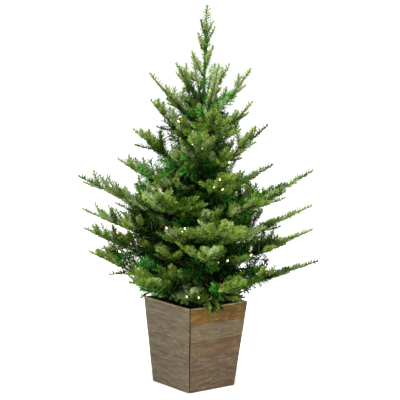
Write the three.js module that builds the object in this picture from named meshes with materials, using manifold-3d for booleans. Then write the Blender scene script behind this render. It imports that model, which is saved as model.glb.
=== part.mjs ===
// Potted artificial fir, 1.22 m tall, in a tapered planter of five boards a side.
// Millimetres, +Z up. The origin is the middle of the planter's flat underside, X and Y run along its sides.
// The tree is a steel pole with whorls of wired boughs. Each bough carries one mass of needled twigs,
// which branch from one stem by a seeded rule. Bearings are counted from the tree's right-hand side as
// it is seen from its front corner: 90 points away, 180 to the left and 270 towards the viewer.
import * as THREE from "three";
import { mergeVertices } from "three/addons/utils/BufferGeometryUtils.js";
import Module from "manifold-3d";

const wasm = await Module();
wasm.setup();

const RAD = Math.PI / 180;
const Z_AXIS = new THREE.Vector3(0, 0, 1);

// Overall sizes
const TREE_TOP = 1219;
const GAP = 0.3; // clearance between pieces that touch
const CORNER_VIEW = -39.2 * RAD; // world angle of bearing 0

// Planter: four mitred panels that lean outwards, a bottom board and the weighted fill
const PLANTER = { height: 281, topWidth: 242, footWidth: 192, wall: 9, boards: 5, groove: 1.4 };
const BOTTOM_BOARD = 12;
const FILL_BELOW_RIM = 34;
const MITRE_GAP = 0.5;

// Trunk: a tapered pole that stands in the fill and leans a little to the right
const TRUNK = { foot: 90, top: 940, footRadius: 11, topRadius: 3.4, lean: 13, sides: 14, steps: 10 };

// Boughs leave the trunk level and curve upwards, as a power of the distance from the trunk.
// limb is the distance at which a bare bough ends and its mass starts: 0 means that it starts at the trunk.
const RISE_POWER = 1.25;
const LIMB = { rootRadius: 4.2, tipRadius: 3, sides: 6, steps: 2 };
const WHORLS = [
  { name: "a", height: 297, boughs: 6, reach: 368, gain: 116, bearing: -1, limb: 62, seed: 81 },
  { name: "b", height: 372, boughs: 5, reach: 382, gain: 146, bearing: 59, limb: 62, seed: 73 },
  { name: "c", height: 444, boughs: 5, reach: 383, gain: 145, bearing: -4, limb: 0, seed: 96 },
  { name: "d", height: 520, boughs: 5, reach: 389, gain: 156, bearing: 28, limb: 0, seed: 46 },
  { name: "e", height: 603, boughs: 4, reach: 250, gain: 125, bearing: 17, limb: 0, seed: 29 },
  { name: "f", height: 684, boughs: 4, reach: 216, gain: 163, bearing: 0, limb: 0, seed: 22 },
  { name: "g", height: 768, boughs: 4, reach: 165, gain: 145, bearing: 9, limb: 0, seed: 73 },
  { name: "h", height: 846, boughs: 4, reach: 173, gain: 181, bearing: 19, limb: 0, seed: 66 },
  { name: "i", height: 915, boughs: 4, reach: 95, gain: 136, bearing: 25, limb: 0, seed: 48 },
];
const REACH_SPREAD = 0.14; // share by which a bough's reach varies
const GAIN_SPREAD = 0.3;
const BEARING_SPREAD = 14 * RAD;

// Masses: twigs spring from the stem, each rolled on round it from the last, longest at its foot.
// A stem or twig swells from its root radius to its core's, at the share coreAt of its length, then thins
// out towards its tip. Each face of its three-sided core is drawn out into one spray of needles for each
// step, long near the trunk as on tinsel and short near the tips as on moulded shoots. crowd packs the
// steps towards the tip.
const STEM = { root: 2.8, core: 19, tip: 1.6, coreAt: 0.1, needle: 28, tipNeedle: 15, step: 35, crowd: 1.3 };
const TWIG = { root: 6, core: 6, tip: 1.4, coreAt: 0, needle: 26, tipNeedle: 15, step: 42, crowd: 1.2 };
const FULL_CORE_REACH = 240; // the stems of shorter boughs have a slimmer core
const TWIG_SPACING = { low: 35, high: 20 }; // in the lowest whorl and the highest
const TWIG_STRETCH = { from: 0.04, to: 0.8 }; // the shares of the stem between which twigs spring
const TWIG_LONGEST = 0.46; // share of the stem's length
const TWIG_SHORTEST = 46;
const TWIG_ANGLE = { foot: 50 * RAD, tip: 38 * RAD, steep: 0.2 }; // from the stem's line, and less above it
const TWIG_ROLLS = [8, 172, 74, 204, -24, 106, 30, 150].map((angle) => angle * RAD);
const ROLL_SWAY = 17 * RAD;
// A twig that leaves its mass's space is shortened to these shares of its length in turn, then left out
const TWIG_TRIES = [1, 0.86, 0.74, 0.64, 0.55, 0.47];
const NEEDLE_ROWS = [-18 * RAD, 90 * RAD, 198 * RAD]; // right, up and left of the twig
const NEEDLE_SWAY = 24 * RAD;
const NEEDLE_FORWARD = 0.8; // share of its length by which a spray leans forward
const BARE_TIP = 14; // length of the point that ends a stem or twig
const SPACE_MARGIN = 1.5;
const SPACE_BULGE = 0.45; // share of the room between whorls that a bough takes where the other has a gap
const TOP_SPACE = 90; // height of the space above the highest whorl
const ROOT_CLEAR = 15; // no twig comes nearer the trunk's axis

// Leader: the upright shoot that ends the trunk, with side shoots turned round it one after the other
const LEADER = { seed: 40, shoots: 6, lowest: 992, spacing: 27, longest: 92, shortest: 50 };
const LEADER_STEM = { ...TWIG, root: 2.8, core: 2.8, needle: 16, tipNeedle: 12, step: 26, crowd: 1 };
const LEADER_SHOOT = { ...LEADER_STEM, root: 2.2, core: 2.2, needle: 14, tipNeedle: 11 };
const SHOOT_ANGLE = 27 * RAD;
const FIRST_SHOOT_BEARING = 170 * RAD;
const SHOOT_TURN = 137.5 * RAD;

const COLOURS = {
  board: 0x6f6150,
  fill: 0x1d1a17,
  trunk: 0x2c3420,
  limb: 0x35491f,
  foliage: [0x55702c, 0x3f6a2a, 0x668033, 0x2f6b38],
};

// The same number from 0 to 1 for the same three counts, so that every build grows the same tree
function chance(seed, index, use) {
  const wave = Math.sin(seed * 12.9898 + index * 78.233 + use * 37.719) * 43758.5453;
  return wave - Math.floor(wave);
}

function material(colour, roughness = 0.8, metalness = 0) {
  return new THREE.MeshStandardMaterial({ color: colour, roughness, metalness });
}

function piece(name, geometry, look) {
  const mesh = new THREE.Mesh(geometry, look);
  mesh.name = name;
  return mesh;
}

function toSolid(geometry) {
  const bare = geometry.clone();
  bare.deleteAttribute("normal");
  bare.deleteAttribute("uv");
  const merged = mergeVertices(bare, 1e-3);
  const vertProperties = new Float32Array(merged.attributes.position.array);
  const triVerts = new Uint32Array(merged.index.array);
  return new wasm.Manifold(new wasm.Mesh({ numProp: 3, vertProperties, triVerts }));
}

// The largest closed body of a solid as a geometry, without scraps and with any sealed hollow filled
function toGeometry(solid) {
  const bodies = solid.decompose();
  const mesh = bodies.reduce((best, body) => (body.volume() > best.volume() ? body : best)).getMesh();
  const geometry = new THREE.BufferGeometry();
  geometry.setAttribute("position", new THREE.BufferAttribute(mesh.vertProperties, 3));
  geometry.setIndex(new THREE.BufferAttribute(mesh.triVerts, 1));
  return geometry;
}

// Planter

function outerHalfWidth(z) {
  return (PLANTER.footWidth + ((PLANTER.topWidth - PLANTER.footWidth) * z) / PLANTER.height) / 2;
}

// The front panel's section, with a V groove at each joint between boards
function panelSection() {
  const section = new THREE.Shape();
  section.moveTo(-outerHalfWidth(0), 0);
  const boardHeight = PLANTER.height / PLANTER.boards;
  for (let joint = 1; joint < PLANTER.boards; joint++) {
    const z = joint * boardHeight;
    section.lineTo(-outerHalfWidth(z - PLANTER.groove), z - PLANTER.groove);
    section.lineTo(-outerHalfWidth(z) + PLANTER.groove, z);
    section.lineTo(-outerHalfWidth(z + PLANTER.groove), z + PLANTER.groove);
  }
  section.lineTo(-outerHalfWidth(PLANTER.height), PLANTER.height);
  section.lineTo(-outerHalfWidth(PLANTER.height) + PLANTER.wall, PLANTER.height);
  section.lineTo(-outerHalfWidth(0) + PLANTER.wall, 0);
  return section;
}

// A board as wide as the planter, cut to the quarter that the two mitres leave
function panelGeometry() {
  const width = PLANTER.topWidth;
  const slab = new THREE.ExtrudeGeometry(panelSection(), { depth: width, bevelEnabled: false });
  slab.rotateX(90 * RAD).rotateZ(90 * RAD).translate(-width / 2, 0, 0);
  const quarter = new THREE.Shape();
  quarter.moveTo(0, -MITRE_GAP / 2);
  quarter.lineTo(-width, -width - MITRE_GAP / 2);
  quarter.lineTo(width, -width - MITRE_GAP / 2);
  const wedge = new THREE.ExtrudeGeometry(quarter, { depth: PLANTER.height + 2, bevelEnabled: false });
  wedge.translate(0, 0, -1);
  return toGeometry(toSolid(slab).intersect(toSolid(wedge)));
}

// A four-sided block between two heights that fits inside the panels
function insideBlock(low, high) {
  const diagonal = (z) => (outerHalfWidth(z) - PLANTER.wall - GAP) * Math.SQRT2;
  const block = new THREE.CylinderGeometry(diagonal(high), diagonal(low), high - low, 4);
  return block.rotateY(45 * RAD).rotateX(90 * RAD).translate(0, 0, (low + high) / 2);
}

function planter() {
  const group = new THREE.Group();
  const wood = material(COLOURS.board, 0.85);
  const panel = panelGeometry();
  ["panel_front", "panel_right", "panel_back", "panel_left"].forEach((name, quarter) => {
    const side = piece(name, panel, wood);
    side.rotation.z = quarter * 90 * RAD;
    group.add(side);
  });
  group.add(piece("bottom_board", insideBlock(0, BOTTOM_BOARD), wood));
  const fillTop = PLANTER.height - FILL_BELOW_RIM;
  const socketFoot = TRUNK.foot - GAP;
  const socket = new THREE.CylinderGeometry(
    TRUNK.footRadius + GAP, TRUNK.footRadius + GAP, fillTop + 1 - socketFoot, TRUNK.sides);
  socket.rotateX(90 * RAD).translate(0, 0, (fillTop + 1 + socketFoot) / 2);
  const fill = toSolid(insideBlock(BOTTOM_BOARD + GAP, fillTop)).subtract(toSolid(socket));
  group.add(piece("weighted_fill", toGeometry(fill), material(COLOURS.fill, 0.95)));
  return group;
}

// Trunk and boughs

function towards(bearing) {
  return new THREE.Vector3(Math.cos(bearing + CORNER_VIEW), Math.sin(bearing + CORNER_VIEW), 0);
}

function trunkPoint(z) {
  const share = Math.max(0, (z - PLANTER.height) / (TREE_TOP - PLANTER.height));
  return towards(0).multiplyScalar(TRUNK.lean * share).setZ(z);
}

function trunkRadius(z) {
  const share = Math.max(0, (z - PLANTER.height) / (TRUNK.top - PLANTER.height));
  return THREE.MathUtils.lerp(TRUNK.footRadius, TRUNK.topRadius, share);
}

// A tapered limb: a cylinder whose rings are laid along a line of points
function limbGeometry(pointAt, radiusAt, sides, steps) {
  const limb = new THREE.CylinderGeometry(1, 1, 1, sides, steps);
  const position = limb.attributes.position;
  const spin = new THREE.Quaternion();
  for (let i = 0; i < position.count; i++) {
    const share = position.getY(i) + 0.5;
    const here = pointAt(share);
    const ahead = pointAt(Math.min(1, share + 0.01)).sub(pointAt(Math.max(0, share - 0.01)));
    const rim = new THREE.Vector3(position.getX(i), 0, position.getZ(i)).multiplyScalar(radiusAt(share));
    spin.setFromUnitVectors(new THREE.Vector3(0, 1, 0), ahead.normalize());
    rim.applyQuaternion(spin).add(here);
    position.setXYZ(i, rim.x, rim.y, rim.z);
  }
  return limb;
}

// The trunk, or with a clearance the sleeve that boughs and masses are cut clear of
function trunkGeometry(clearance) {
  const zAt = (share) => THREE.MathUtils.lerp(TRUNK.foot - clearance, TRUNK.top + clearance, share);
  const radiusAt = (share) => trunkRadius(zAt(share)) + clearance;
  return limbGeometry((share) => trunkPoint(zAt(share)), radiusAt, TRUNK.sides, TRUNK.steps);
}

const trunkSleeve = toSolid(trunkGeometry(GAP));

// The boughs of one whorl, each with its own reach, gain and bearing by the seeded rule
function boughsOf(whorl) {
  const made = [];
  for (let i = 0; i < whorl.boughs; i++) {
    const sway = (use) => chance(whorl.seed, i, use) - 0.5;
    made.push({
      whorl,
      index: i,
      bearing: whorl.bearing * RAD + (i * 360 * RAD) / whorl.boughs + sway(1) * BEARING_SPREAD,
      reach: whorl.reach * (1 + sway(2) * REACH_SPREAD),
      gain: whorl.gain * (1 + sway(3) * GAIN_SPREAD),
    });
  }
  made.forEach((bough, i) => {
    const before = made[(i + made.length - 1) % made.length];
    const after = made[(i + 1) % made.length];
    const turn = (angle) => THREE.MathUtils.euclideanModulo(angle, 360 * RAD);
    bough.room = {
      right: turn(bough.bearing - before.bearing) / 2,
      left: turn(after.bearing - bough.bearing) / 2,
    };
  });
  return made;
}

const whorls = WHORLS.map((whorl, level) => ({ ...whorl, level, made: boughsOf({ ...whorl, level }) }));

function boughPoint(bough, distance) {
  const rise = bough.gain * Math.pow(Math.max(distance, 0) / bough.reach, RISE_POWER);
  const root = trunkPoint(bough.whorl.height);
  return root.addScaledVector(towards(bough.bearing), distance).add(new THREE.Vector3(0, 0, rise));
}

function limbOf(bough) {
  const start = trunkRadius(bough.whorl.height) - 2;
  const pointAt = (share) => boughPoint(bough, THREE.MathUtils.lerp(start, bough.whorl.limb, share));
  const radiusAt = (share) => THREE.MathUtils.lerp(LIMB.rootRadius, LIMB.tipRadius, share);
  const limb = limbGeometry(pointAt, radiusAt, LIMB.sides, LIMB.steps);
  return toGeometry(toSolid(limb).subtract(trunkSleeve));
}

// Masses

// How near a bearing is to the whorl's boughs, from 1 on a bough to -1 midway between two
function nearness(whorl, bearing) {
  const turns = whorl.made.map((bough) => Math.cos(bearing - bough.bearing));
  return Math.cos(Math.min(Math.acos(Math.max(...turns)) * whorl.boughs, 180 * RAD));
}

// The height of a whorl's boughs at a distance and bearing, blended from the boughs on either side
function layerHeight(whorl, distance, bearing) {
  let gain = 0;
  let weights = 0;
  for (const bough of whorl.made) {
    const weight = Math.pow(Math.max(0, Math.cos(bearing - bough.bearing)), 12);
    gain += weight * bough.gain * Math.pow(distance / bough.reach, RISE_POWER);
    weights += weight;
  }
  return whorl.height + gain / weights;
}

// The height of the surface between two whorls, which bulges towards each where the other has its boughs
function borderHeight(lower, upper, distance, bearing) {
  const low = layerHeight(lower, distance, bearing);
  const high = layerHeight(upper, distance, bearing);
  const bulge = (SPACE_BULGE / 2) * (nearness(lower, bearing) - nearness(upper, bearing));
  return (low + high) / 2 + bulge * (high - low);
}

// True where a point lies in the bough's own space: its share of the turn, between its whorl's two borders
function inSpace(bough, point) {
  const whorl = whorls[bough.whorl.level];
  const across = point.clone().sub(trunkPoint(point.z)).setZ(0);
  const distance = across.length();
  if (distance < ROOT_CLEAR || distance > bough.reach + 2) return false;
  const out = towards(bough.bearing);
  const offset = Math.atan2(out.clone().cross(across).z, out.dot(across));
  const side = offset < 0 ? bough.room.right : bough.room.left;
  if (distance * Math.sin(Math.max(0, side - Math.abs(offset))) < SPACE_MARGIN) return false;
  const bearing = bough.bearing + offset;
  const below = whorls[whorl.level - 1];
  const above = whorls[whorl.level + 1];
  const own = layerHeight(whorl, distance, bearing);
  const floor = below ? borderHeight(below, whorl, distance, bearing) : PLANTER.height;
  const ceiling = above ? borderHeight(whorl, above, distance, bearing) : own + TOP_SPACE;
  return point.z > Math.max(floor, PLANTER.height) + SPACE_MARGIN && point.z < ceiling - SPACE_MARGIN;
}

function radiusAlong({ root, core, tip, coreAt }, share) {
  if (share < coreAt) return THREE.MathUtils.mapLinear(share, 0, coreAt, root, core);
  return THREE.MathUtils.mapLinear(share, coreAt, 1, core, tip);
}

// A three-sided stem or twig along a line of points, with its needles from the second step on
function needledTwig(pointAt, shape, seed) {
  const length = pointAt(1).distanceTo(pointAt(0));
  const steps = Math.max(2, Math.round(length / shape.step));
  const vertices = [];
  const faces = [];
  const frames = [];
  for (let i = 0; i <= steps; i++) {
    const share = (1 - Math.pow(1 - i / steps, shape.crowd)) * (1 - BARE_TIP / length);
    const centre = pointAt(share);
    const ahead = pointAt(share + 0.01).sub(pointAt(share - 0.01)).normalize();
    const side = ahead.clone().cross(Z_AXIS);
    if (side.length() < 0.2) side.copy(towards(0)).projectOnPlane(ahead);
    side.normalize();
    const up = side.clone().cross(ahead);
    frames.push({ ahead, side, up, needle: THREE.MathUtils.lerp(shape.needle, shape.tipNeedle, share) });
    const width = radiusAlong(shape, share);
    for (const angle of [-90 * RAD, 30 * RAD, 150 * RAD]) {
      const corner = centre.clone().addScaledVector(side, width * Math.cos(angle));
      vertices.push(corner.addScaledVector(up, width * Math.sin(angle)));
    }
  }
  for (let i = 0; i < steps; i++) {
    NEEDLE_ROWS.forEach((angle, row) => {
      const next = (row + 1) % 3;
      const [a, b, c, d] = [3 * i + row, 3 * i + 3 + row, 3 * i + 3 + next, 3 * i + next];
      if (i < 1) {
        faces.push([a, b, c], [a, c, d]);
        return;
      }
      const { ahead, side, up, needle } = frames[i];
      const sway = (chance(seed, i, 10 + row) - 0.5) * NEEDLE_SWAY;
      const reach = needle * (0.85 + 0.3 * chance(seed, i, 20 + row));
      const tip = new THREE.Vector3();
      for (const corner of [a, b, c, d]) tip.addScaledVector(vertices[corner], 0.25);
      tip.addScaledVector(side, reach * Math.cos(angle + sway));
      tip.addScaledVector(up, reach * Math.sin(angle + sway));
      tip.addScaledVector(ahead, reach * NEEDLE_FORWARD);
      const top = vertices.push(tip) - 1;
      faces.push([a, b, top], [b, c, top], [c, d, top], [d, a, top]);
    });
  }
  const last = 3 * steps;
  const point = vertices.push(pointAt(1)) - 1;
  faces.push([0, 1, 2], [last + 1, last, point], [last + 2, last + 1, point], [last, last + 2, point]);
  const geometry = new THREE.BufferGeometry().setFromPoints(vertices);
  geometry.setIndex(faces.flat());
  return { geometry, vertices };
}

// A line that leaves its start along out and droops a little below its end
function twigLine(start, out, length) {
  return (share) => {
    const droop = -0.15 * length * share * (1 - share);
    return start.clone().addScaledVector(out, length * share).add(new THREE.Vector3(0, 0, droop));
  };
}

// The twigs of a bough's mass: where each leaves the stem, which way, and its full length
function twigsOf(bough, root) {
  const made = [];
  const boughSeed = bough.whorl.seed * 10 + bough.index;
  const stemLength = bough.reach - root;
  const levels = WHORLS.length - 1;
  const spacing = THREE.MathUtils.lerp(TWIG_SPACING.low, TWIG_SPACING.high, bough.whorl.level / levels);
  const count = Math.round((stemLength * (TWIG_STRETCH.to - TWIG_STRETCH.from)) / spacing);
  for (let i = 0; i < count; i++) {
    const place = (i + 0.2 + 0.6 * chance(boughSeed, i, 4)) / count;
    const share = THREE.MathUtils.lerp(TWIG_STRETCH.from, TWIG_STRETCH.to, place);
    const distance = root + share * stemLength;
    const start = boughPoint(bough, distance);
    const ahead = boughPoint(bough, distance + 1).sub(start).normalize();
    const level = ahead.clone().cross(Z_AXIS).normalize();
    const sway = ROLL_SWAY * (chance(boughSeed, i, 5) - 0.5);
    const roll = TWIG_ROLLS[(i + bough.index) % TWIG_ROLLS.length] + sway;
    const aside = level.clone().multiplyScalar(Math.cos(roll));
    aside.addScaledVector(level.clone().cross(ahead), Math.sin(roll));
    const steepness = 1 - TWIG_ANGLE.steep * Math.abs(Math.sin(roll));
    const angle = THREE.MathUtils.lerp(TWIG_ANGLE.foot, TWIG_ANGLE.tip, share) * steepness;
    const full = stemLength * TWIG_LONGEST * Math.pow(1 - share, 0.6);
    const length = Math.max(full * (0.8 + 0.4 * chance(boughSeed, i, 6)), TWIG_SHORTEST);
    const out = ahead.multiplyScalar(Math.cos(angle)).addScaledVector(aside, Math.sin(angle));
    made.push({ start, out, length, seed: boughSeed * 20 + i });
  }
  return made;
}

// A mass starts just clear of its bough's tip, or of the trunk where the whorl has no boughs of its own
function massOf(bough) {
  const limb = bough.whorl.limb;
  const root = limb ? limb + GAP : trunkRadius(bough.whorl.height) - 1;
  const stemAt = (share) => boughPoint(bough, THREE.MathUtils.lerp(root, bough.reach, share));
  const shape = { ...STEM, core: STEM.core * Math.min(1, bough.reach / FULL_CORE_REACH) };
  const stem = needledTwig(stemAt, shape, bough.whorl.seed * 10 + bough.index);
  let solid = toSolid(stem.geometry);
  for (const { start, out, length, seed } of twigsOf(bough, root)) {
    for (const share of TWIG_TRIES) {
      const twig = needledTwig(twigLine(start, out, length * share), TWIG, seed);
      if (!twig.vertices.slice(3).every((point) => inSpace(bough, point))) continue;
      solid = solid.add(toSolid(twig.geometry));
      break;
    }
  }
  return toGeometry(limb ? solid : solid.subtract(trunkSleeve));
}

// The leader's stem goes on from the trunk's tip, and its shoots turn round it by the same angle each time
function leaderGeometry() {
  const stemAt = (share) => trunkPoint(THREE.MathUtils.lerp(TRUNK.top + GAP, TREE_TOP, share));
  let solid = toSolid(needledTwig(stemAt, LEADER_STEM, LEADER.seed).geometry);
  for (let i = 0; i < LEADER.shoots; i++) {
    const start = trunkPoint(LEADER.lowest + i * LEADER.spacing);
    const length = THREE.MathUtils.lerp(LEADER.longest, LEADER.shortest, i / (LEADER.shoots - 1));
    const out = towards(FIRST_SHOOT_BEARING + i * SHOOT_TURN).multiplyScalar(Math.sin(SHOOT_ANGLE));
    out.setZ(Math.cos(SHOOT_ANGLE));
    const shoot = needledTwig(twigLine(start, out, length), LEADER_SHOOT, LEADER.seed + 1 + i);
    solid = solid.add(toSolid(shoot.geometry));
  }
  return toGeometry(solid);
}

// Assembly

const tree = new THREE.Group();
tree.add(planter());
tree.add(piece("trunk", trunkGeometry(0), material(COLOURS.trunk, 0.6, 0.3)));
for (const whorl of whorls) {
  for (const bough of whorl.made) {
    const label = whorl.name + (bough.index + 1);
    const green = COLOURS.foliage[(whorl.seed + bough.index) % COLOURS.foliage.length];
    if (whorl.limb) tree.add(piece("bough_" + label, limbOf(bough), material(COLOURS.limb, 0.7)));
    tree.add(piece("foliage_" + label, massOf(bough), material(green, 0.75)));
  }
}
tree.add(piece("foliage_leader", leaderGeometry(), material(COLOURS.foliage[0], 0.75)));

export default tree;
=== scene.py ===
# Artificial fir with mini lights in a tapered planter of weathered boards
# Sizes are in millimetres, as in the part's own source, and become metres where a mesh is made.
import math

import bmesh
import bpy
import numpy as np
from mathutils import Matrix, Vector


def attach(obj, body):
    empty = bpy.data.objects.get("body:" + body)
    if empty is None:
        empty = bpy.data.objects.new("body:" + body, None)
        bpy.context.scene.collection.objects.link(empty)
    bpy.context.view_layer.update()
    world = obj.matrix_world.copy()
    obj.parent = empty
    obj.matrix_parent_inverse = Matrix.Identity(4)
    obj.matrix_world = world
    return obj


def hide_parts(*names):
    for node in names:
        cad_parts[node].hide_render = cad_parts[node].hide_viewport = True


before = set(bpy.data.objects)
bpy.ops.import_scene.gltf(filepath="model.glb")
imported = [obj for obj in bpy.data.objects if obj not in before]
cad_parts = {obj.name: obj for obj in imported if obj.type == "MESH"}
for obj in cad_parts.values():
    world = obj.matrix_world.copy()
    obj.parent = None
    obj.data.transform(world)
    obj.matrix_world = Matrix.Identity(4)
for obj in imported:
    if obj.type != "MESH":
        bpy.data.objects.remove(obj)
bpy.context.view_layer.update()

MM = 0.001
TURN = 2 * math.pi
UP = Vector((0, 0, 1))

# Planter
RIM = 281
RIM_WIDTH = 242
FOOT_WIDTH = 192
WALL = 9
BOARDS = 5
LEAN = math.atan((RIM_WIDTH - FOOT_WIDTH) / 2 / RIM)

# Trunk and boughs, by the same rule as the solids
TREE_TOP = 1219
CORNER_VIEW = math.radians(-39.2)
TRUNK = {"foot": 90, "top": 940, "foot_radius": 11, "top_radius": 3.4, "lean": 13}
RISE_POWER = 1.25
WHORL_COLUMNS = ("name", "height", "boughs", "reach", "gain", "bearing", "limb", "seed")
WHORLS = [dict(zip(WHORL_COLUMNS, row)) for row in (
    ("a", 297, 6, 368, 116, -1, 62, 81),
    ("b", 372, 5, 382, 146, 59, 62, 73),
    ("c", 444, 5, 383, 145, -4, 0, 96),
    ("d", 520, 5, 389, 156, 28, 0, 46),
    ("e", 603, 4, 250, 125, 17, 0, 29),
    ("f", 684, 4, 216, 163, 0, 0, 22),
    ("g", 768, 4, 165, 145, 9, 0, 73),
    ("h", 846, 4, 173, 181, 19, 0, 66),
    ("i", 915, 4, 95, 136, 25, 0, 48),
)]
REACH_SPREAD = 0.14
GAIN_SPREAD = 0.3
BEARING_SPREAD = math.radians(14)
TWIG_SPACING = (35, 20)
TWIG_STRETCH = (0.04, 0.8)
TWIG_LONGEST = 0.46
TWIG_SHORTEST = 46
TWIG_ANGLE = (math.radians(50), math.radians(38))
TWIG_STEEP = 0.2
TWIG_ROLLS = [math.radians(roll) for roll in (8, 172, 74, 204, -24, 106, 30, 150)]
ROLL_SWAY = math.radians(17)
TWIG_TRIES = (1, 0.86, 0.74, 0.64, 0.55, 0.47)
SPACE_BULGE = 0.45
TOP_SPACE = 90
ROOT_CLEAR = 15
LEADER = {"seed": 40, "shoots": 6, "lowest": 992, "spacing": 27, "longest": 92, "shortest": 50}
SHOOT_ANGLE = math.radians(27)
FIRST_SHOOT_BEARING = math.radians(170)
SHOOT_TURN = math.radians(137.5)

# A look is a place in the list of materials for moulded needles, for tinsel or for twigs
OLIVE, FRESH, PALE, DARK, SHADED = range(5)
# The shaded tinsel is near-black painted shade for the depths of the crown
EMERALD, DEEP, SHADED_TINSEL = range(3)
WIRE, TWIG, BUD = range(3)

# Needles: moulded ones on the sprays, in rows and at set rolls round the shoot, and cut strips of tinsel
MOULDED = {
    "per_mm": 2.4,
    "length": 16,
    "width": 1.9,
    "row": 8.2,
    "rolls": (-16, 4, 22, 58, 90, 122, 158, 176, 196),
}
TINSEL = {"per_mm": 1.15, "length": 26, "width": 2.5}
SIDE_SHOOT = {"spacing": 66, "angle": math.radians(44), "share": 0.62, "shortest": 30}

# Distance between the sprays that fill up a bough, for whorls a to i
FILL_SPACING = (42, 42, 42, 42, 42, 42, 50, 90, 200)

# How far out the emerald tinsel shows on the boughs where it isn't hidden
EMERALD_SHOWS = {"e2": 0.66, "f2": 0.6, "h0": 0.5, "h3": 0.5, "g1": 0.6, "c1": 0.6, "d0": 0.55}

# The boughs between a whorl's own ones are numbered from here
BETWEEN = 20

# Levels of the whorls: from the first one up the crown takes lighter looks, painted light, and from the
# second one up it is thin
UPPER_LEVEL = 5
THIN_LEVEL = 7

# How far a bough has to point to the left or the right to count as one at the side
AT_SIDE = 0.62

# Where the pole shows near the top: lowest height and half the width kept free in front of it
BARE_POLE = (918, 22)

# How many shoots cover the weighting, lie low to the rim, rise inside it and make one fan
RIM_COUNTS = {"cover": 44, "low": 20, "rising": 12, "fingers": 7}

# Bearings of the shoots that hang over the planter's edge
OVERHANGS = (286, 293, 299, 305, 22, 74, 81, 140, 168)

# Bearing, distance from the trunk, rise above the rim and look of the fans at the rim
RIM_FANS = (
    (264, 126, 20, PALE),
    (285, 96, 44, PALE),
    (238, 100, 30, OLIVE),
    (297, 104, 26, FRESH),
    (10, 96, 30, OLIVE),
    (70, 100, 26, PALE),
    (125, 92, 32, OLIVE),
    (190, 96, 28, FRESH),
)


def chance(seed, index, use):
    """A fixed number from 0 to 1 for each seed and index, different for each use"""
    wave = math.sin(seed * 12.9898 + index * 78.233 + use * 37.719) * 43758.5453
    return wave - math.floor(wave)


def blend(low, high, share):
    return low + (high - low) * share


def swung(first, second, angle):
    """The direction that lies an angle away from the first one, towards the second"""
    return first * math.cos(angle) + second * math.sin(angle)


def swung_each(first, second, angles):
    """The same for arrays of directions, with an angle for each"""
    return first * np.cos(angles)[:, None] + second * np.sin(angles)[:, None]


# Making meshes


def deselect():
    if bpy.context.object and bpy.context.object.mode != "OBJECT":
        bpy.ops.object.mode_set(mode="OBJECT")
    bpy.ops.object.select_all(action="DESELECT")


def apply_all(piece):
    deselect()
    bpy.context.view_layer.objects.active = piece
    piece.select_set(True)
    for modifier in list(piece.modifiers):
        bpy.ops.object.modifier_apply(modifier=modifier.name)
    bpy.ops.object.transform_apply(location=True, rotation=True, scale=True)


def join(pieces, name):
    deselect()
    for piece in pieces:
        piece.select_set(True)
    bpy.context.view_layer.objects.active = pieces[0]
    bpy.ops.object.join()
    joined = bpy.context.object
    joined.name = name
    joined.data.name = name
    return joined


def smooth(piece, degrees=40):
    deselect()
    bpy.context.view_layer.objects.active = piece
    piece.select_set(True)
    bpy.ops.object.shade_smooth_by_angle(angle=math.radians(degrees))


class Heap:
    """Points and triangles gathered for one joined mesh, with the look of each triangle"""

    def __init__(self):
        self.points = []
        self.faces = []
        self.looks = []
        self.count = 0

    def add(self, points, faces, look=0):
        self.points.append(points)
        self.faces.append(faces + self.count)
        self.looks.append(np.broadcast_to(look, len(faces)))
        self.count += len(points)

    def piece(self, name, materials, smoothed=False):
        points = np.concatenate(self.points).astype(np.float32) * MM
        faces = np.concatenate(self.faces).astype(np.int32)
        mesh = bpy.data.meshes.new(name)
        mesh.vertices.add(len(points))
        mesh.vertices.foreach_set("co", points.ravel())
        mesh.loops.add(faces.size)
        mesh.loops.foreach_set("vertex_index", faces.ravel())
        mesh.polygons.add(len(faces))
        mesh.polygons.foreach_set("loop_start", np.arange(0, faces.size, 3, dtype=np.int32))
        mesh.polygons.foreach_set("material_index", np.concatenate(self.looks).astype(np.int32))
        mesh.polygons.foreach_set("use_smooth", np.full(len(faces), smoothed))
        for material in materials:
            mesh.materials.append(material)
        mesh.update(calc_edges=True)
        mesh.validate()
        made = bpy.data.objects.new(name, mesh)
        bpy.context.scene.collection.objects.link(made)
        return made


def line_frames(line):
    """The direction ahead, to the side and up at each point of a line"""
    ahead = np.gradient(line, axis=0)
    ahead /= np.linalg.norm(ahead, axis=1, keepdims=True)
    side = np.cross(ahead, (0, 0, 1))
    steep = np.linalg.norm(side, axis=1) < 0.2
    side[steep] = np.cross(ahead[steep], (0.6, 0.8, 0))
    side /= np.linalg.norm(side, axis=1, keepdims=True)
    return ahead, side, np.cross(side, ahead)


def tube(line, radii, sides):
    """A closed tube along a line, with a radius for each of its points"""
    ahead, side, up = line_frames(line)
    angles = np.arange(sides) * TURN / sides
    rim = swung_each(side[:, None], up[:, None], angles)
    rings = line[:, None] + rim * np.asarray(radii).reshape(len(line), -1, 1)
    points = np.concatenate([rings.reshape(-1, 3), line[:1], line[-1:]])
    foot, tip = len(points) - 2, len(points) - 1
    here = np.arange(sides)
    after = (here + 1) % sides
    faces = []
    for ring in range(len(line) - 1):
        low, high = ring * sides, (ring + 1) * sides
        faces.append(np.stack([low + here, low + after, high + after], 1))
        faces.append(np.stack([low + here, high + after, high + here], 1))
    last = (len(line) - 1) * sides
    faces.append(np.stack([after, here, np.full(sides, foot)], 1))
    faces.append(np.stack([last + here, last + after, np.full(sides, tip)], 1))
    return points, np.concatenate(faces)


# Materials


def paint(red, green, blue):
    """A colour picker's 0 to 255 values as the linear values that shaders take"""
    tones = [value / 255 for value in (red, green, blue)]
    return tuple(t / 12.92 if t < 0.04 else ((t + 0.055) / 1.055) ** 2.4 for t in tones) + (1,)


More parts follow.
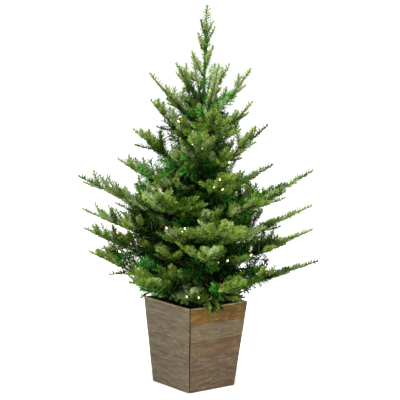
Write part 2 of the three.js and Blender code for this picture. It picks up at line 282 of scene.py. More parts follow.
class Nodes:
    """Adds nodes to a tree, with each input either linked or set"""

    def __init__(self, tree):
        self.tree = tree

    def add(self, kind, inputs=None, **settings):
        made = self.tree.nodes.new(kind)
        for key, value in settings.items():
            setattr(made, key, value)
        for key, value in (inputs or {}).items():
            if isinstance(value, bpy.types.NodeSocket):
                self.tree.links.new(value, made.inputs[key])
            else:
                made.inputs[key].default_value = value
        return made

    def math(self, operation, first, second=0.0):
        return self.add("ShaderNodeMath", {0: first, 1: second}, operation=operation).outputs[0]

    def times(self, first, second):
        return self.math("MULTIPLY", first, second)

    def effect(self, group, **inputs):
        return self.add("ShaderNodeGroup", inputs, node_tree=group).outputs

    def place(self):
        return self.add("ShaderNodeTexCoord").outputs["Object"]

    def stored(self, name):
        return self.add("ShaderNodeAttribute", attribute_name=name).outputs["Vector"]

    def mix(self, factor, first, second):
        made = self.add("ShaderNodeMix", {0: factor, 6: first, 7: second}, data_type="RGBA")
        return made.outputs[2]

    def spread(self, value, low, high, to_low=0.0, to_high=1.0):
        inputs = {"Value": value, "From Min": low, "From Max": high, "To Min": to_low, "To Max": to_high}
        return self.add("ShaderNodeMapRange", inputs).outputs[0]

    def noise(self, vector, scale, detail=3.0, roughness=0.5):
        inputs = {"Vector": vector, "Scale": scale, "Detail": detail, "Roughness": roughness}
        return self.add("ShaderNodeTexNoise", inputs).outputs["Fac"]

    def stretch(self, vector, along, across, through=1.0):
        return self.add("ShaderNodeMapping", {"Vector": vector, "Scale": (along, across, through)}).outputs[0]

    def bump(self, height, strength, distance):
        inputs = {"Height": height, "Strength": strength, "Distance": distance}
        return self.add("ShaderNodeBump", inputs).outputs[0]


def new_effect(name, inputs, outputs):
    """A node group with named inputs and number outputs, still empty, and its input and output nodes"""
    tree = bpy.data.node_groups.new(name, "ShaderNodeTree")
    for label, kind in inputs.items():
        tree.interface.new_socket(label, in_out="INPUT", socket_type=kind)
    for label in outputs:
        tree.interface.new_socket(label, in_out="OUTPUT", socket_type="NodeSocketFloat")
    nodes = Nodes(tree)
    return nodes, nodes.add("NodeGroupInput").outputs, nodes.add("NodeGroupOutput").inputs


def new_material(name, **sockets):
    material = bpy.data.materials.new(name)
    material.use_nodes = True
    nodes = Nodes(material.node_tree)
    shader = material.node_tree.nodes["Principled BSDF"]
    for label, value in sockets.items():
        shader.inputs[label.replace("_", " ")].default_value = value
    return material, nodes, shader


def weathered_grain_effect():
    """Long grain for boards: place is along, across and a different depth for each board"""
    nodes, given, made = new_effect(
        "weathered grain", {"Place": "NodeSocketVector"}, ("Streaks", "Patches", "Scratches"))
    place = given["Place"]
    broad = nodes.noise(nodes.stretch(place, 17, 120), 1.0, 4.0, 0.65)
    fine = nodes.noise(nodes.stretch(place, 60, 440), 1.0, 5.0, 0.7)
    patches = nodes.noise(nodes.stretch(place, 42, 80), 1.0, 5.0, 0.7)
    scratches = nodes.noise(nodes.stretch(place, 40, 900), 1.0, 2.0, 0.5)
    link = nodes.tree.links.new
    link(nodes.math("ADD", nodes.times(broad, 0.65), nodes.times(fine, 0.35)), made["Streaks"])
    link(patches, made["Patches"])
    link(scratches, made["Scratches"])
    return nodes.tree


def mottle_effect():
    """Uneven tone and a fine roughness, at a scale set for each material"""
    nodes, given, made = new_effect(
        "mottle", {"Place": "NodeSocketVector", "Scale": "NodeSocketFloat"}, ("Tone", "Speckle"))
    tone = nodes.noise(given["Place"], given["Scale"], 3.0, 0.55)
    speckle = nodes.noise(given["Place"], nodes.times(given["Scale"], 9.0), 2.0, 0.6)
    nodes.tree.links.new(nodes.spread(tone, 0.3, 0.7), made["Tone"])
    nodes.tree.links.new(nodes.spread(speckle, 0.3, 0.7), made["Speckle"])
    return nodes.tree


grain_effect = weathered_grain_effect()
mottle = mottle_effect()


def board_material():
    """Stained boards, warmer in places, pale at worn edges and dark in the joints between boards"""
    material, nodes, shader = new_material("weathered board", Roughness=0.78, Specular_IOR_Level=0.2)
    link = nodes.tree.links.new
    place, stain, room = (nodes.stored(name) for name in ("place", "stain", "room"))
    warmth, redness, paleness = nodes.add("ShaderNodeSeparateXYZ", {0: stain}).outputs
    along, half, above = nodes.add("ShaderNodeSeparateXYZ", {0: room}).outputs
    grain = nodes.effect(grain_effect, Place=place)
    patches = grain["Patches"]
    streaks = nodes.spread(grain["Streaks"], 0.38, 0.62)
    colour = nodes.mix(streaks, paint(61, 53, 41), paint(106, 96, 80))
    warm = nodes.times(warmth, nodes.spread(patches, 0.3, 0.55, 0.75, 1.0))
    colour = nodes.mix(warm, colour, nodes.mix(streaks, paint(68, 49, 0), paint(118, 84, 0)))
    mottles = nodes.times(warmth, nodes.spread(patches, 0.47, 0.56, 0.0, 0.7))
    mottles = nodes.times(mottles, nodes.spread(along, -0.05, 0.02, 0.15, 1.0))
    colour = nodes.mix(mottles, colour, paint(50, 38, 12))
    colour = nodes.mix(nodes.spread(patches, 0.42, 0.66, 0.0, 0.4), colour, paint(74, 60, 40))
    pale = nodes.times(nodes.spread(patches, 0.34, 0.46, 0.45, 0.0), nodes.spread(warm, 0, 1, 1, 0))
    colour = nodes.mix(pale, colour, paint(120, 110, 92))
    red = nodes.times(redness, nodes.spread(patches, 0.36, 0.56, 0.3, 0.75))
    colour = nodes.mix(red, colour, paint(88, 60, 40))
    colour = nodes.mix(nodes.times(paleness, 0.6), colour, paint(116, 105, 80))
    end = nodes.math("SUBTRACT", half, nodes.math("ABSOLUTE", along))
    edge = nodes.math("MINIMUM", nodes.math("MINIMUM", above, end), 0.02)
    ragged = nodes.math("ADD", edge, nodes.spread(patches, 0.3, 0.7, -0.002, 0.002))
    worn = nodes.times(nodes.spread(ragged, 0.001, 0.0045, 0.85, 0.0), nodes.spread(streaks, 0, 1, 0.5, 1))
    colour = nodes.mix(worn, colour, paint(160, 144, 108))
    scratches = nodes.spread(grain["Scratches"], 0.3, 0.42, 0.45, 0.0)
    colour = nodes.mix(scratches, colour, paint(62, 52, 40))
    link(colour, shader.inputs["Base Color"])
    link(nodes.spread(streaks, 0, 1, 0.86, 0.68), shader.inputs["Roughness"])
    height = nodes.math("ADD", nodes.times(streaks, 0.7), nodes.times(scratches, -0.8))
    link(nodes.bump(height, 0.5, 0.0012), shader.inputs["Normal"])
    return material


def plain_wood_material():
    """The bottom board, cut from the same wood and left unstained"""
    material, nodes, shader = new_material("bare board", Roughness=0.85)
    grain = nodes.effect(grain_effect, Place=nodes.place())
    streaks = nodes.spread(grain["Streaks"], 0.36, 0.64)
    colour = nodes.mix(streaks, paint(92, 78, 58), paint(132, 116, 90))
    nodes.tree.links.new(colour, shader.inputs["Base Color"])
    nodes.tree.links.new(nodes.bump(streaks, 0.4, 0.001), shader.inputs["Normal"])
    return material


def mottled_material(name, dark, light, scale, rough, bump=0.3, distance=0.0006, **sockets):
    """Uneven colour between a dark and a light paint, with fine bumps and a roughness that varies a little"""
    material, nodes, shader = new_material(name, Roughness=rough, **sockets)
    look = nodes.effect(mottle, Place=nodes.place(), Scale=scale)
    colour = nodes.mix(look["Tone"], paint(*dark), paint(*light))
    colour = nodes.mix(nodes.times(look["Speckle"], 0.25), colour, paint(*dark))
    nodes.tree.links.new(colour, shader.inputs["Base Color"])
    roughness = nodes.spread(look["Speckle"], 0, 1, rough - 0.08, rough + 0.08)
    nodes.tree.links.new(roughness, shader.inputs["Roughness"])
    nodes.tree.links.new(nodes.bump(look["Speckle"], bump, distance), shader.inputs["Normal"])
    return material


def lamp_material():
    """Lit glass: warm white, with a glow whose tone varies a little"""
    material, nodes, shader = new_material("lit bulb", Roughness=0.15)
    shader.inputs["Base Color"].default_value = paint(255, 236, 196)
    shader.inputs["Emission Strength"].default_value = 3.0
    look = nodes.effect(mottle, Place=nodes.place(), Scale=260.0)
    glow = nodes.mix(look["Tone"], paint(255, 206, 128), paint(255, 228, 170))
    nodes.tree.links.new(glow, shader.inputs["Emission Color"])
    return material


board_look = board_material()
bare_board_look = plain_wood_material()
fill_look = mottled_material("dark weighting", (22, 19, 16), (52, 46, 38), 120.0, 0.95, 0.9, 0.004)
pole_look = mottled_material("taped pole", (32, 38, 22), (58, 66, 38), 160.0, 0.7)
wire_look = mottled_material("taped wire", (44, 54, 24), (82, 92, 44), 220.0, 0.75)
twig_look = mottled_material("moulded twig", (70, 82, 36), (98, 112, 52), 200.0, 0.6)
bud_look = mottled_material("bud", (74, 56, 30), (110, 88, 48), 300.0, 0.6)
holder_look = mottled_material("bulb holder", (18, 44, 22), (30, 66, 32), 300.0, 0.4)
lead_look = mottled_material("light wire", (14, 44, 20), (26, 66, 30), 300.0, 0.45)
lamp_look = lamp_material()
floor_look = mottled_material("studio floor", (250, 250, 250), (254, 254, 254), 1.5, 0.9, 0.0)


def needle_material(name, dark, light):
    return mottled_material(name, dark, light, 120.0, 0.6, 0.1, Specular_IOR_Level=0.05)


# The shaded needle and the shaded tinsel are near-black painted shade, put where the crown lies in shade
MOULDED_LOOKS = [
    needle_material("olive needle", (110, 133, 43), (144, 166, 72)),
    needle_material("fresh needle", (90, 126, 42), (124, 160, 66)),
    needle_material("pale needle", (130, 150, 94), (158, 177, 128)),
    needle_material("dark needle", (36, 68, 4), (64, 98, 14)),
    needle_material("shaded needle", (5, 16, 2), (19, 36, 5)),
]
TINSEL_LOOKS = [
    needle_material("emerald tinsel", (50, 134, 36), (98, 172, 72)),
    needle_material("deep tinsel", (10, 58, 8), (36, 92, 22)),
    needle_material("shaded tinsel", (3, 11, 2), (11, 28, 5)),
]


# Planter boards

# Each board's warmth at its left, middle and right, then its redness and paleness, from the lowest board up
BOARD_STAINS = {
    "front": [
        (0.25, 0.15, 0.25, 0.4, 0.0),
        (0.05, 0.0, 0.1, 0.6, 0.0),
        (0.25, 0.3, 0.4, 0.7, 0.0),
        (0.35, 0.2, 0.4, 0.0, 0.35),
        (1.0, 1.0, 1.0, 0.1, 0.0),
    ],
    "right": [
        (0.0, 0.2, 0.1, 0.3, 0.1),
        (0.5, 0.4, 0.1, 0.4, 0.0),
        (0.1, 0.0, 0.2, 0.1, 0.3),
        (0.2, 0.6, 0.8, 0.1, 0.0),
        (0.1, 0.1, 0.3, 0.2, 0.1),
    ],
    "back": [
        (0.2, 0.1, 0.0, 0.0, 0.2),
        (0.0, 0.1, 0.3, 0.3, 0.1),
        (0.6, 0.7, 0.3, 0.2, 0.0),
        (0.1, 0.0, 0.1, 0.0, 0.3),
        (0.0, 0.2, 0.1, 0.3, 0.0),
    ],
    "left": [
        (0.15, 0.1, 0.0, 0.0, 0.35),
        (0.1, 0.0, 0.0, 0.1, 0.2),
        (0.0, 0.05, 0.1, 0.1, 0.3),
        (0.05, 0.0, 0.05, 0.05, 0.4),
        (0.0, 0.05, 0.1, 0.0, 0.4),
    ],
}


def half_width(z):
    return blend(FOOT_WIDTH, RIM_WIDTH, z / RIM) / 2


# How far the front panel's boards stop short of its left and right corners, from the lowest board up
CORNER_GAPS = ((2.0, 0.4), (1.8, 1.8), (3.4, 2.6), (3.8, 2.2), (2.2, 0.7))


def add_board(level, seed, short_left, short_right):
    """A board of the front panel: a leaning block, cut to its heights and mitres, eased and a bit warped"""
    low = level * RIM / BOARDS
    high = low + RIM / BOARDS
    middle = (low + high) / 2
    proud = 0.4 * (chance(seed, level, 1) - 0.5)
    centre = Vector((0, -half_width(middle) + WALL / 2 + 0.5 + proud, middle))
    deselect()
    size = Vector((RIM_WIDTH + 20, WALL - 1, (high - low) * 1.3))
    bpy.ops.mesh.primitive_cube_add(
        size=1, calc_uvs=False, location=centre * MM, rotation=(LEAN, 0, 0), scale=size * MM)
    board = bpy.context.object
    bpy.ops.object.transform_apply(location=True, rotation=True, scale=True)
    bpy.ops.object.mode_set(mode="EDIT")
    joint = 0.06 + 0.14 * chance(seed, level, 2)
    mitre = -0.5 - 0.9 * chance(seed, level, 3)
    cuts = [
        ((0, 0, low + (joint if level else 0)), (0, 0, -1)),
        ((0, 0, high - (joint if level < BOARDS - 1 else 0)), (0, 0, 1)),
        ((0, mitre - short_right, 0), (1, 1, 0)),
        ((0, mitre - short_left, 0), (-1, 1, 0)),
    ]
    for place, facing in cuts:
        bpy.ops.mesh.select_all(action="SELECT")
        normal = Vector(facing).normalized()
        bpy.ops.mesh.bisect(plane_co=Vector(place) * MM, plane_no=normal, use_fill=True, clear_outer=True)
    bpy.ops.mesh.select_all(action="DESELECT")
    bpy.ops.mesh.select_mode(type="EDGE")
    shape = bmesh.from_edit_mesh(board.data)
    for edge in shape.edges:
        run = edge.verts[0].co - edge.verts[1].co
        edge.select = abs(run.x) > 0.9 * run.length and run.length > 60 * MM
    bmesh.update_edit_mesh(board.data)
    bpy.ops.mesh.subdivide(number_cuts=11)
    bpy.ops.object.mode_set(mode="OBJECT")
    bevel = board.modifiers.new("eased edges", "BEVEL")
    bevel.width = 0.5 * MM
    bevel.segments = 2
    bevel.limit_method = "ANGLE"
    apply_all(board)
    for vertex in board.data.vertices:
        along = vertex.co.x / MM
        wave = math.sin(along / 37 + 6 * chance(seed, level, 4)) + 0.6 * math.sin(along / 13 + seed)
        vertex.co.y += 0.22 * wave * MM
    return board, high


def stain_board(board, high, stains, seed, top):
    """Stores where each point lies on its board, the board's stain there and its room to the worn edges"""
    place, stain, room = (
        board.data.attributes.new(name, "FLOAT_VECTOR", "POINT") for name in ("place", "stain", "room"))
    left, middle, right, red, pale = stains
    for index, vertex in enumerate(board.data.vertices):
        x, _, z = vertex.co / MM
        along = (x / half_width(z) + 1) / 2
        warm = blend(left, middle, along * 2) if along < 0.5 else blend(middle, right, along * 2 - 1)
        place.data[index].vector = (x * MM, z * MM, seed * 1.7)
        stain.data[index].vector = (warm, red, pale)
        room.data[index].vector = (x * MM, half_width(z) * MM, (high - z if top else 20) * MM)


def planter_panel(side, quarter):
    """One panel, made as the front one and turned into place"""
    boards = []
    for level in range(BOARDS):
        seed = quarter * 10 + level + 3
        board, high = add_board(level, seed, *(CORNER_GAPS[level] if side == "front" else (0, 0)))
        stain_board(board, high, BOARD_STAINS[side][level], seed, level == BOARDS - 1)
        board.data.materials.append(board_look)
        boards.append(board)
    panel = join(boards, "boards_" + side)
    panel.data.transform(Matrix.Rotation(quarter * TURN / 4, 4, "Z"))
    smooth(panel, 30)
    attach(panel, "root")
    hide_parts("panel_" + side)


for quarter, side in enumerate(("front", "right", "back", "left")):
    planter_panel(side, quarter)


def dress_node(name, look):
    """Gives a look to one of the solids that stay as they are"""
    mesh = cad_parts[name].data
    mesh.materials.clear()
    mesh.materials.append(look)


dress_node("bottom_board", bare_board_look)
dress_node("weighted_fill", fill_look)


# Trunk and boughs


def towards(bearing):
    """The level direction of a bearing: 0 is to the right in the photo, a quarter turn is away from it"""
    return Vector((math.cos(bearing + CORNER_VIEW), math.sin(bearing + CORNER_VIEW), 0))


def trunk_point(z):
    share = max(0, (z - RIM) / (TREE_TOP - RIM))
    point = towards(0) * TRUNK["lean"] * share
    point.z = z
    return point


def trunk_radius(z):
    share = max(0, (z - RIM) / (TRUNK["top"] - RIM))
    return blend(TRUNK["foot_radius"], TRUNK["top_radius"], share)


def boughs_of(whorl):
    """The whorl's boughs by the source's rule, each with the room to its neighbours on both sides"""
    made = []
    count = whorl["boughs"]
    for index in range(count):
        sway = [chance(whorl["seed"], index, use) - 0.5 for use in (1, 2, 3)]
        made.append({
            "whorl": whorl,
            "index": index,
            "bearing": math.radians(whorl["bearing"]) + index * TURN / count + sway[0] * BEARING_SPREAD,
            "reach": whorl["reach"] * (1 + sway[1] * REACH_SPREAD),
            "gain": whorl["gain"] * (1 + sway[2] * GAIN_SPREAD),
        })
    for index, bough in enumerate(made):
        bough["right"] = (bough["bearing"] - made[index - 1]["bearing"]) % TURN / 2
        bough["left"] = (made[(index + 1) % count]["bearing"] - bough["bearing"]) % TURN / 2
    return made


for level, whorl in enumerate(WHORLS):
    whorl["level"] = level
    whorl["made"] = boughs_of(whorl)


def bough_point(bough, distance):
    rise = bough["gain"] * (max(distance, 0) / bough["reach"]) ** RISE_POWER
    return trunk_point(bough["whorl"]["height"]) + towards(bough["bearing"]) * distance + UP * rise


def trunk_pole():
    """The pole: a grid rolled up into a tube, with tape wound round it in low overlapping steps"""
    sides, rings = 26, 420
    deselect()
    bpy.ops.mesh.primitive_grid_add(x_subdivisions=sides, y_subdivisions=rings, size=1)
    pole = bpy.context.object
    pole.name = "trunk_pole"
    for vertex in pole.data.vertices:
        angle = (vertex.co.x + 0.5) * TURN
        z = blend(TRUNK["foot"], TRUNK["top"], vertex.co.y + 0.5)
        lap = (z / 17 + angle / TURN) % 1
        knob = 0.25 * math.sin(angle * 3 + z / 21) + 0.2 * math.sin(z / 7.3 + angle)
        radius = trunk_radius(z) - 0.9 + 0.75 * (1 - lap) ** 2 + knob * 0.5
        vertex.co = (trunk_point(z) + Vector((math.cos(angle), math.sin(angle), 0)) * radius) * MM
    bpy.ops.object.mode_set(mode="EDIT")
    bpy.ops.mesh.select_all(action="SELECT")
    bpy.ops.mesh.remove_doubles(threshold=0.00002)
    bpy.ops.mesh.select_all(action="DESELECT")
    bpy.ops.mesh.select_mode(type="EDGE")
    bpy.ops.mesh.select_non_manifold()
    bpy.ops.mesh.edge_face_add()
    bpy.ops.mesh.select_all(action="SELECT")
    bpy.ops.mesh.normals_make_consistent(inside=False)
    bpy.ops.object.mode_set(mode="OBJECT")
    pole.data.materials.append(pole_look)
    smooth(pole, 50)
    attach(pole, "root")
    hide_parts("trunk")


trunk_pole()


def nearness(whorl, bearing):
    """1 over a bough of the whorl, -1 midway between two of them"""
    turn = max(math.cos(bearing - bough["bearing"]) for bough in whorl["made"])
    return math.cos(min(math.acos(min(turn, 1)) * len(whorl["made"]), math.pi))


def layer_height(whorl, distance, bearing):
    """The height of the rising surface through all the whorl's boughs"""
    gain = 0
    weights = 0
    for bough in whorl["made"]:
        weight = max(0, math.cos(bearing - bough["bearing"])) ** 12
        gain += weight * bough["gain"] * (distance / bough["reach"]) ** RISE_POWER
        weights += weight
    return whorl["height"] + gain / weights


def border_height(lower, upper, distance, bearing):
    """The height where the spaces of two whorls meet"""
    low = layer_height(lower, distance, bearing)
    high = layer_height(upper, distance, bearing)
    bulge = SPACE_BULGE / 2 * (nearness(lower, bearing) - nearness(upper, bearing))
    return (low + high) / 2 + bulge * (high - low)


def in_space(bough, point, spare, low=0):
    """True where a point is in the bough's own space or a spare distance around it, and well over the rim"""
    across = point - trunk_point(point.z)
    distance = math.hypot(across.x, across.y)
    if distance < ROOT_CLEAR or distance > bough["reach"] + 2:
        return False
    out = towards(bough["bearing"])
    offset = math.atan2(out.x * across.y - out.y * across.x, out.x * across.x + out.y * across.y)
    side = bough["right"] if offset < 0 else bough["left"]
    if abs(offset) > side and distance * math.sin(min(abs(offset) - side, math.pi / 2)) > spare:
        return False
    bearing = bough["bearing"] + offset
    level = bough["whorl"]["level"]
    floor = RIM + 6 + low * min(1, distance / 100) + 0.3 * max(0, distance - 130)
    if level:
        floor = max(floor, border_height(WHORLS[level - 1], bough["whorl"], distance, bearing) - spare)
    if level + 1 < len(WHORLS):
        ceiling = border_height(bough["whorl"], WHORLS[level + 1], distance, bearing)
    else:
        ceiling = layer_height(bough["whorl"], distance, bearing) + TOP_SPACE
    return floor < point.z < ceiling + spare


def twig_point(start, out, length, share):
    """A point of a twig that sags a little in the middle"""
    return start + out * length * share - UP * 0.15 * length * share * (1 - share)


def fitted_length(bough, start, out, length, spare=8, low=0):
    """The longest of the tried lengths whose whole line stays in the bough's space"""
    for share in TWIG_TRIES:
        reach = length * share
        if all(in_space(bough, twig_point(start, out, reach, s), spare, low) for s in (0.45, 0.6, 0.8, 1)):
            return reach
    return 0


def twig_from_bough(bough, root, share, roll, angle):
    """The foot and the direction of a twig at a share of the stem, at an angle to it and rolled round it"""
    distance = root + share * (bough["reach"] - root)
    start = bough_point(bough, distance)
    ahead = (bough_point(bough, distance + 1) - start).normalized()
    level = ahead.cross(UP).normalized()
    aside = swung(level, level.cross(ahead), roll)
    return start, swung(ahead, aside, angle)


def twigs_of(bough, root):
    """The bough's twigs by the source's rule, each with its place on the stem"""
    made = []
    bough_seed = bough["whorl"]["seed"] * 10 + bough["index"]
    stem_length = bough["reach"] - root
    spacing = blend(*TWIG_SPACING, bough["whorl"]["level"] / (len(WHORLS) - 1))
    count = math.floor(stem_length * (TWIG_STRETCH[1] - TWIG_STRETCH[0]) / spacing + 0.5)
    for index in range(count):
        place = (index + 0.2 + 0.6 * chance(bough_seed, index, 4)) / count
        share = blend(*TWIG_STRETCH, place)
        roll = TWIG_ROLLS[(index + bough["index"]) % len(TWIG_ROLLS)]
        roll += ROLL_SWAY * (chance(bough_seed, index, 5) - 0.5)
        angle = blend(*TWIG_ANGLE, share) * (1 - TWIG_STEEP * abs(math.sin(roll)))
        full = stem_length * TWIG_LONGEST * (1 - share) ** 0.6
        length = max(full * (0.8 + 0.4 * chance(bough_seed, index, 6)), TWIG_SHORTEST)
        start, out = twig_from_bough(bough, root, share, roll, angle)
        made.append((share, start, out, length, bough_seed * 20 + index))
    return made


# Sprays: each shoot is a line that carries needles, and most shoots of a spray have the spray's look

shoots = []


def add_shoot(owner, line, kind, look, seed, width=1.0, needle=1.0, bare=0.0, dense=1.0, route=()):
    """Keeps a shoot: bare is its share without needles, route the way back along the twigs that carry it"""
    line = np.array([tuple(point) for point in line], float)
    route = np.array([tuple(point) for point in route], float).reshape(-1, 3)
    shoots.append({
        "owner": owner, "line": line, "kind": kind, "look": look, "seed": seed, "width": width,
        "needle": needle, "bare": bare, "dense": dense, "route": route,
    })


def twig_line(start, out, length, steps=7):
    return [twig_point(start, out, length, step / steps) for step in range(steps + 1)]


# The darker and the lighter neighbours of each look, for random tone and for painted shade and light
DARKER_MOULDED = {OLIVE: DARK, FRESH: DARK, PALE: OLIVE, DARK: SHADED, SHADED: SHADED}
LIGHTER_MOULDED = {OLIVE: PALE, FRESH: OLIVE, PALE: PALE, DARK: FRESH, SHADED: DARK}
DARKER_TINSEL = {EMERALD: DEEP, DEEP: SHADED_TINSEL, SHADED_TINSEL: SHADED_TINSEL}


def moulded_look(seed, share=1.0, level=0):
    """Deep in the crown the sprays mostly take the shaded look, painted shade; near its surface and towards
    the top mostly light looks, painted light
    """
    # Painted shade: the shaded look is likeliest near the trunk and low on the tree
    shaded = (1.58 if level > 1 else 1.26) - 2.85 * share - 0.1 * level
    if level < 6 and chance(seed, 4, 51) < shaded:
        return SHADED
    limits = (0.62, 0.8, 0.93) if level >= UPPER_LEVEL else (0.38, 0.62, 0.65 + 0.23 * share)
    pick = chance(seed, 3, 51)
    return (OLIVE, FRESH, PALE, DARK)[sum(pick >= limit for limit in limits)]


def sideways(bough):
    """How far the bough points to the left or the right in the photo, from 0 to 1"""
    return abs(math.cos(bough["bearing"]))


def facing_look(look, bough, seed):
    """At the sides and at the top more of the sprays take a lighter look, at the front and the back a darker
    one: painted light and shade
    """
    light = sideways(bough) > AT_SIDE or bough["whorl"]["level"] >= UPPER_LEVEL
    if look in (DARK, SHADED) or chance(seed, 6, 51) > (0.5 if light else 0.34):
        return look
    return LIGHTER_MOULDED[look] if light else DARKER_MOULDED[look]


def upsweep(bough):
    """Low on the tree the sprays that face the front and the back lie flatter than those at the sides"""
    return 0.3 if bough["whorl"]["level"] < UPPER_LEVEL and sideways(bough) < AT_SIDE else 1


def grow_spray(owner, start, out, length, seed, look, route=(), depth=0, rise=1):
    """A moulded twig with side shoots in one plane, longest near its foot. Long side shoots have their own.
    In the top whorls the twigs are fuller and have fewer side shoots"""
    full = 1.12 if owner in ("h", "i") else 1
    line = twig_line(start, out, length)
    width = 1 - 0.15 * depth
    add_shoot(owner, line, "moulded", look, seed, width, needle=full, bare=0.08, dense=full, route=route)
    level = out.cross(UP)
    level = level.normalized() if level.length > 0.2 else towards(0)
    steep = level.cross(out)
    roll = 1.1 * rise * (chance(seed, 9, 77) - 0.5)
    side = swung(level, steep, roll)
    lift = steep * math.cos(roll) - level * math.sin(roll)
    count = round(max(0, length - 44) / SIDE_SHOOT["spacing"] / full ** 3)
    for index in range(count):
        for hand in (-1, 1):
            share = 0.22 + 0.6 * (index + 0.25 + 0.25 * hand) / max(count, 1)
            share += 0.05 * (chance(seed, index, 60 + hand) - 0.5)
            reach = (1 - share) * length * SIDE_SHOOT["share"] + SIDE_SHOOT["shortest"]
            reach *= 0.82 + 0.36 * chance(seed, index, 63 + hand)
            angle = SIDE_SHOOT["angle"] * (0.85 + 0.3 * chance(seed, index, 66 + hand))
            tilt = rise * (0.15 + 1.1 * chance(seed, index, 69 + hand))
            turned = swung(out, (side * hand + lift * tilt).normalized(), angle).normalized()
            foot = twig_point(start, out, length, share)
            back = [twig_point(start, out, length, share * (1 - step / 4)) for step in range(5)]
            child_seed = seed * 7 + index * 2 + hand
            pick = chance(child_seed, index, 72)
            own_look = DARKER_MOULDED[look] if pick < 0.22 else LIGHTER_MOULDED[look] if pick > 0.84 else look
            own_look = own_look if look == SHADED else min(own_look, DARK)
            if reach > 72 and depth < 1:
                grow_spray(owner, foot, turned, reach, child_seed, own_look, back, depth + 1, rise)
            else:
                line = twig_line(foot, turned, reach, 4)
                needle = 0.93 * full
                add_shoot(owner, line, "moulded", own_look, child_seed, 0.8, needle, 0.06, full, back)


def gathered(bough, root, share, out, length):
    """Towards the tip the twigs lie closer to the bough, on the right of the tree most of all"""
    distance = root + share * (bough["reach"] - root)
    ahead = (bough_point(bough, distance + 1) - bough_point(bough, distance)).normalized()
    tightness = min(0.78, max(0, 0.12 + 0.7 * math.cos(bough["bearing"])))
    tightness *= 1 if bough["whorl"]["level"] < UPPER_LEVEL else 0.3
    lean = tightness * min(1, max(0, (share - 0.2) / 0.3))
    out = out * (1 - lean) + ahead * lean
    if out.z < ahead.z * 0.6:
        out.z += 0.3 * min(1, share / 0.5)
    return out.normalized(), length * (1 - 0.3 * lean)


def grow_bough(bough):
    """The bough's own shoot, its twigs by the source's rule with sprays on them, and what fills it up"""
    whorl = bough["whorl"]
    owner = whorl["name"]
    seed = whorl["seed"] * 10 + bough["index"]
    own = bough["index"] < BETWEEN
    root = whorl["limb"] + 0.3 if whorl["limb"] and own else trunk_radius(whorl["height"]) - 1
    reach = bough["reach"]
    split = blend(root, reach, 0.42)
    inner = [bough_point(bough, blend(root, split, step / 8)) for step in range(9)]
    outer = [bough_point(bough, blend(split, reach, step / 14)) for step in range(15)]
    add_shoot(owner, inner, "tinsel", DEEP, seed, needle=0.95)
    add_shoot(owner, outer, "moulded", moulded_look(seed, 1, whorl["level"]), seed + 5000, width=1.15)
    for share, start, out, length, twig_seed in twigs_of(bough, root):
        if whorl["level"] >= THIN_LEVEL and chance(twig_seed, 5, 52) < 0.16:
            continue
        out, length = gathered(bough, root, share, out, length)
        if share > 0.4 and sideways(bough) > 0.5:
            length = min(length, 74)
        tinsel_odds = 0.6 if share < 0.25 else 0.2 if share < 0.5 else 0.0
        tinsel = chance(twig_seed, 1, 52) < tinsel_odds
        length = fitted_length(bough, start, out, length, 8, 24 if tinsel else 0)
        if not length or hides_pole(start, out, length):
            continue
        if tinsel:
            look = EMERALD if chance(twig_seed, 2, 53) < 0.45 and whorl["level"] else DEEP
            add_shoot(owner, twig_line(start, out, length), "tinsel", look, twig_seed)
        else:
            look = moulded_look(twig_seed, share, whorl["level"])
            look = OLIVE if look == DARK and share > 0.5 and twig_seed % 3 else look
            look = facing_look(look, bough, twig_seed)
            grow_spray(owner, start, out, length, twig_seed, look, rise=upsweep(bough))
    if own and whorl["level"] < THIN_LEVEL:
        finger_tip(bough, root, owner, seed)
    fill_bough(bough, root, owner, seed)


def hides_pole(start, out, length):
    """True for a twig in front of the pole near the top of the tree, where the pole shows"""
    for share in (0.3, 0.5, 0.75, 1):
        point = start + out * length * share
        across = point - trunk_point(point.z)
        beside = abs(across.dot(towards(0))) > BARE_POLE[1]
        if point.z > BARE_POLE[0] and not beside and across.dot(towards(-TURN / 4)) > 2:
            return True
    return False


def finger_tip(bough, root, owner, seed):
    """Short fingers in upswept pairs along the outer part of the bough"""
    stem_length = bough["reach"] - root
    shares = (0.6, 0.72, 0.83)[:1 if math.cos(bough["bearing"]) > 0.6 else 3]
    steepest = 66 if upsweep(bough) == 1 else 36
    for index, share in enumerate(shares):
        for hand in (0, 1):
            place = share + 0.05 * (chance(seed, index, 80 + hand) - 0.5)
            roll = math.radians(blend(18, steepest, chance(seed, index, 82 + hand)))
            roll = math.pi - roll if hand else roll
            length = min(66, (1 - place) * stem_length * 0.4 + 24)
            start, out = twig_from_bough(bough, root, place, roll, math.radians(44))
            out, length = gathered(bough, root, place, out, length)
            finger_seed = seed * 11 + index * 2 + hand
            look = moulded_look(finger_seed, 1, bough["whorl"]["level"])
            line = twig_line(start, out, length, 5)
            add_shoot(owner, line, "moulded", look, finger_seed, width=0.8, needle=0.95, bare=0.06)


